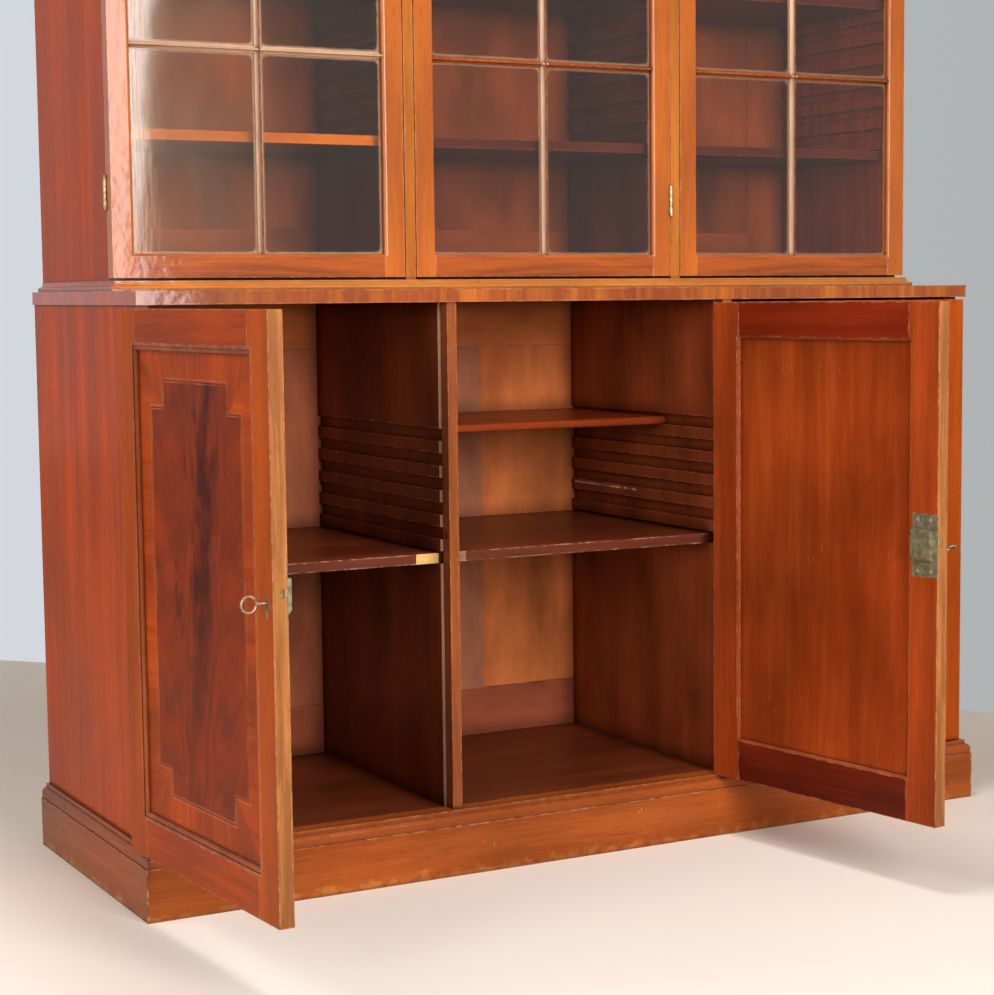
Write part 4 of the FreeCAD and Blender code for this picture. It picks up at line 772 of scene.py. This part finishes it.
def glassMaterial(name, door):
    # old thin glass, wavy and smeared, paler and hazier along its rims
    material, tree = newMaterial(name + "_crownGlass")
    add = partial(addNode, tree)
    point = placeVector(tree, name)
    apart = add("ShaderNodeSeparateXYZ", {0: point}).outputs
    inward = []
    rowStart, rowHeight = glass["row"]
    for axis, (start, length) in ((0, glass["column"]), (2, (door["foot"] + rowStart, rowHeight))):
        along = add("ShaderNodeMath", {0: apart[axis], 1: start}, operation="SUBTRACT")
        along = add("ShaderNodeMath", {0: along, 1: length + glass["bar"]}, operation="FLOORED_MODULO")
        left = add("ShaderNodeMath", {0: length, 1: along}, operation="SUBTRACT")
        inward.append(add("ShaderNodeMath", {0: along, 1: left}, operation="MINIMUM"))
    rim = add("ShaderNodeMath", {0: inward[0], 1: inward[1], 2: glass["rimGrain"]}, operation="SMOOTH_MIN")
    ragged = add("ShaderNodeTexNoise", {"Vector": point, "Scale": 1 / glass["rimGrain"], "Detail": 4.0})
    rim = add("ShaderNodeMath", {0: ragged, 1: glass["rimStray"], 2: rim}, operation="MULTIPLY_ADD")
    rimTo = glass["rimFrom"] + glass["rimWidth"]
    rimmed = add("ShaderNodeMapRange", {0: rim, 1: glass["rimFrom"], 2: rimTo, 3: glass["rim"][name], 4: 0.0},
                 interpolation_type="SMOOTHSTEP")
    smear = add("ShaderNodeTexNoise", {"Vector": point, "Scale": 1 / glass["cloud"], "Detail": 5.0})
    dust = glass["dust"][name]
    haze = add("ShaderNodeMapRange", {0: smear, 1: 0.3, 2: 0.7, 3: dust * 0.5, 4: dust * 1.5})
    # dustier by the hinges
    near, far = glass["dusty"]
    clean = add("ShaderNodeMapRange", {0: apart[0], 1: near, 2: far, 3: 1.0, 4: 0.12})
    haze = add("ShaderNodeMath", {0: haze, 1: clean, 2: rimmed}, operation="MULTIPLY_ADD")
    # streaks of a dry cloth, down the hinge side
    width, length = glass["streak"]
    wiped = add("ShaderNodeVectorMath", {0: point, 1: (1 / width, 1.0, 1 / length)}, operation="MULTIPLY")
    wiped = add("ShaderNodeTexNoise", {"Vector": wiped, "Scale": 1.0, "Detail": 3.0})
    wiped = add("ShaderNodeMapRange", {0: wiped, 1: 0.46, 2: 0.72, 3: 0.0, 4: glass["smear"][name]})
    near, far = glass["streaked"]
    nearEdge = add("ShaderNodeMapRange", {0: apart[0], 1: near, 2: far, 3: 1.0, 4: 0.0},
                   interpolation_type="SMOOTHSTEP")
    wiped = add("ShaderNodeMath", {0: wiped, 1: nearEdge}, operation="MULTIPLY")
    haze = add("ShaderNodeMath", {0: haze, 1: wiped}, operation="ADD")
    clear = add("ShaderNodeMath", {0: 1.0, 1: haze}, operation="SUBTRACT")
    wavy = add("ShaderNodeTexNoise", {"Vector": point, "Scale": 1 / glass["waveLength"], "Detail": 1.0})
    bump = add("ShaderNodeBump", {"Height": wavy, "Strength": glass["wave"], "Distance": 0.002})
    shader = add("ShaderNodeBsdfPrincipled", {
        "Base Color": hexColour(glass["haze"]), "Roughness": 0.05, "IOR": 1.5,
        "Transmission Weight": clear, "Normal": bump, "Specular IOR Level": 0.02})
    isShadow = add("ShaderNodeLightPath").outputs["Is Shadow Ray"]
    through = add("ShaderNodeBsdfTransparent")
    mixed = add("ShaderNodeMixShader", {0: isShadow, 1: shader, 2: through})
    add("ShaderNodeOutputMaterial", {0: mixed})
    return material


for name, door in doors.items():
    if name.startswith("upper"):
        dress(name + "_door_panes", glassMaterial(name, door))
print("metal and glass")

# slotted screws of the locks and hinges, in mm; across is from the door's edge, reach from the middle

screws = {"headRadius": 3.1, "headHeight": 1.2, "proud": 0.12, "slotWidth": 0.8, "slotDepth": 0.6,
          "sides": 14, "seed": 7,
          "lowerLock": {"across": (13.0, 38.0), "middle": 519.5, "reach": 38.0},
          "upperLock": {"across": (13.0,), "middle": 1506.5, "reach": 29.5},
          "hinge": {"inset": 9.5, "reach": 15.0, "gap": 0.35},
          "lowerHinges": (227.0, 750.5), "upperHinges": (1044.0, 1569.5, 2095.0)}


def screwTree():
    tree = bpy.data.node_groups.new("slottedScrews", "GeometryNodeTree")
    add = partial(addNode, tree)
    sizes = {name: "Float" for name in ("headRadius", "headHeight", "proud", "slotWidth", "slotDepth")}
    addSockets(tree, {"Geometry": "Geometry", **sizes, "seed": "Int", "finish": "Material"},
               {"Geometry": "Geometry"})
    given = add("NodeGroupInput").outputs
    head = add("GeometryNodeMeshCylinder", {"Vertices": screws["sides"], "Radius": given["headRadius"],
                                            "Depth": given["headHeight"]})
    sunk = add("ShaderNodeMath", {0: given["headHeight"], 1: -0.5, 2: given["proud"]},
               operation="MULTIPLY_ADD")
    sunk = add("ShaderNodeCombineXYZ", {2: sunk})
    head = add("GeometryNodeTransform", {"Geometry": head, "Translation": sunk})
    length = add("ShaderNodeMath", {0: given["headRadius"], 1: 3.0}, operation="MULTIPLY")
    deep = add("ShaderNodeMath", {0: given["slotDepth"], 1: 2.0}, operation="MULTIPLY")
    size = add("ShaderNodeCombineXYZ", {0: length, 1: given["slotWidth"], 2: deep})
    top = add("ShaderNodeCombineXYZ", {2: given["proud"]})
    slot = add("GeometryNodeMeshCube", {"Size": size})
    slot = add("GeometryNodeTransform", {"Geometry": slot, "Translation": top})
    cut = add("GeometryNodeMeshBoolean", {"Mesh 1": head, "Mesh 2": slot}, operation="DIFFERENCE",
              solver="EXACT")
    facing = add("GeometryNodeInputNamedAttribute", {"Name": "facing"}, data_type="FLOAT_VECTOR")
    turned = add("FunctionNodeAlignRotationToVector", {"Vector": facing}, axis="Z")
    spin = add("FunctionNodeRandomValue", {"Min": (0, 0, 0), "Max": (0, 0, math.pi), "Seed": given["seed"]},
               data_type="FLOAT_VECTOR")
    spin = add("FunctionNodeEulerToRotation", {0: spin})
    turned = add("FunctionNodeRotateRotation", {"Rotation": turned, "Rotate By": spin},
                 rotation_space="LOCAL")
    placed = add("GeometryNodeInstanceOnPoints", {"Points": given["Geometry"], "Instance": cut,
                                                  "Rotation": turned})
    real = add("GeometryNodeRealizeInstances", {0: placed})
    real = add("GeometryNodeSetMaterial", {"Geometry": real, "Material": given["finish"]})
    add("NodeGroupOutput", {0: real})
    return tree


def doorTurn(name, across, back):
    door = doors[name]
    turn = Matrix.Rotation(math.radians(door["opened"]), 3, "Z")
    return turn @ Vector((door["flip"] * across, back, 0))


def findPlaces():
    # each body's screws: where, and which way the head faces
    places = {"case": []}
    hinge = screws["hinge"]
    for name, door in doors.items():
        case = name.split("_")[0]
        lock, thick = screws[case + "Lock"], door["thick"]
        held = places[name + "_door"] = []
        for inset in lock["across"]:
            for height in (lock["middle"] - lock["reach"], lock["middle"] + lock["reach"]):
                held.append((doorPoint(name, door["width"] - inset, thick, height), doorTurn(name, 0, 1)))
        pivot = Vector(pivots[name + "_door"])
        if "middle" in name:   # leaves stand in the gap beside the door
            onDoor, doorFacing = (0, hinge["inset"] - door["face"]), doorTurn(name, -1, 0)
            onCase, caseFacing = Vector((hinge["gap"], hinge["inset"], 0)), Vector((-1, 0, 0))
        else:                  # leaves lie behind the door
            onDoor, doorFacing = (hinge["inset"] - door["edge"], thick), doorTurn(name, 0, 1)
            onCase, caseFacing = Vector((door["flip"] * hinge["inset"], hinge["gap"], 0)), Vector((0, -1, 0))
        for level in screws[case + "Hinges"]:
            for height in (level - hinge["reach"], level + hinge["reach"]):
                lift = Vector((0, 0, height / 1000 - pivot.z))
                held.append((doorPoint(name, *onDoor, height), doorFacing))
                places["case"].append((pivot + lift + onCase / 1000, caseFacing))
    return places


tree = screwTree()
for body, places in findPlaces().items():
    piece = meshObject(body + "_screws", [tuple(place) for place, facing in places], [])
    attribute = piece.data.attributes.new("facing", "FLOAT_VECTOR", "POINT")
    attribute.data.foreach_set("vector", [value for place, facing in places for value in facing])
    modifier = piece.modifiers.new("screws", "NODES")
    modifier.node_group = tree
    for item in tree.interface.items_tree:
        if item.in_out == "INPUT" and item.name in screws:
            modifier[item.identifier] = screws[item.name] if item.name == "seed" else screws[item.name] / 1000
        elif item.name == "finish":
            modifier[item.identifier] = screwSteel
    finished = bpy.data.meshes.new_from_object(piece.evaluated_get(bpy.context.evaluated_depsgraph_get()))
    piece.modifiers.clear()
    piece.data = finished
    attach(piece, body)
print("screws")
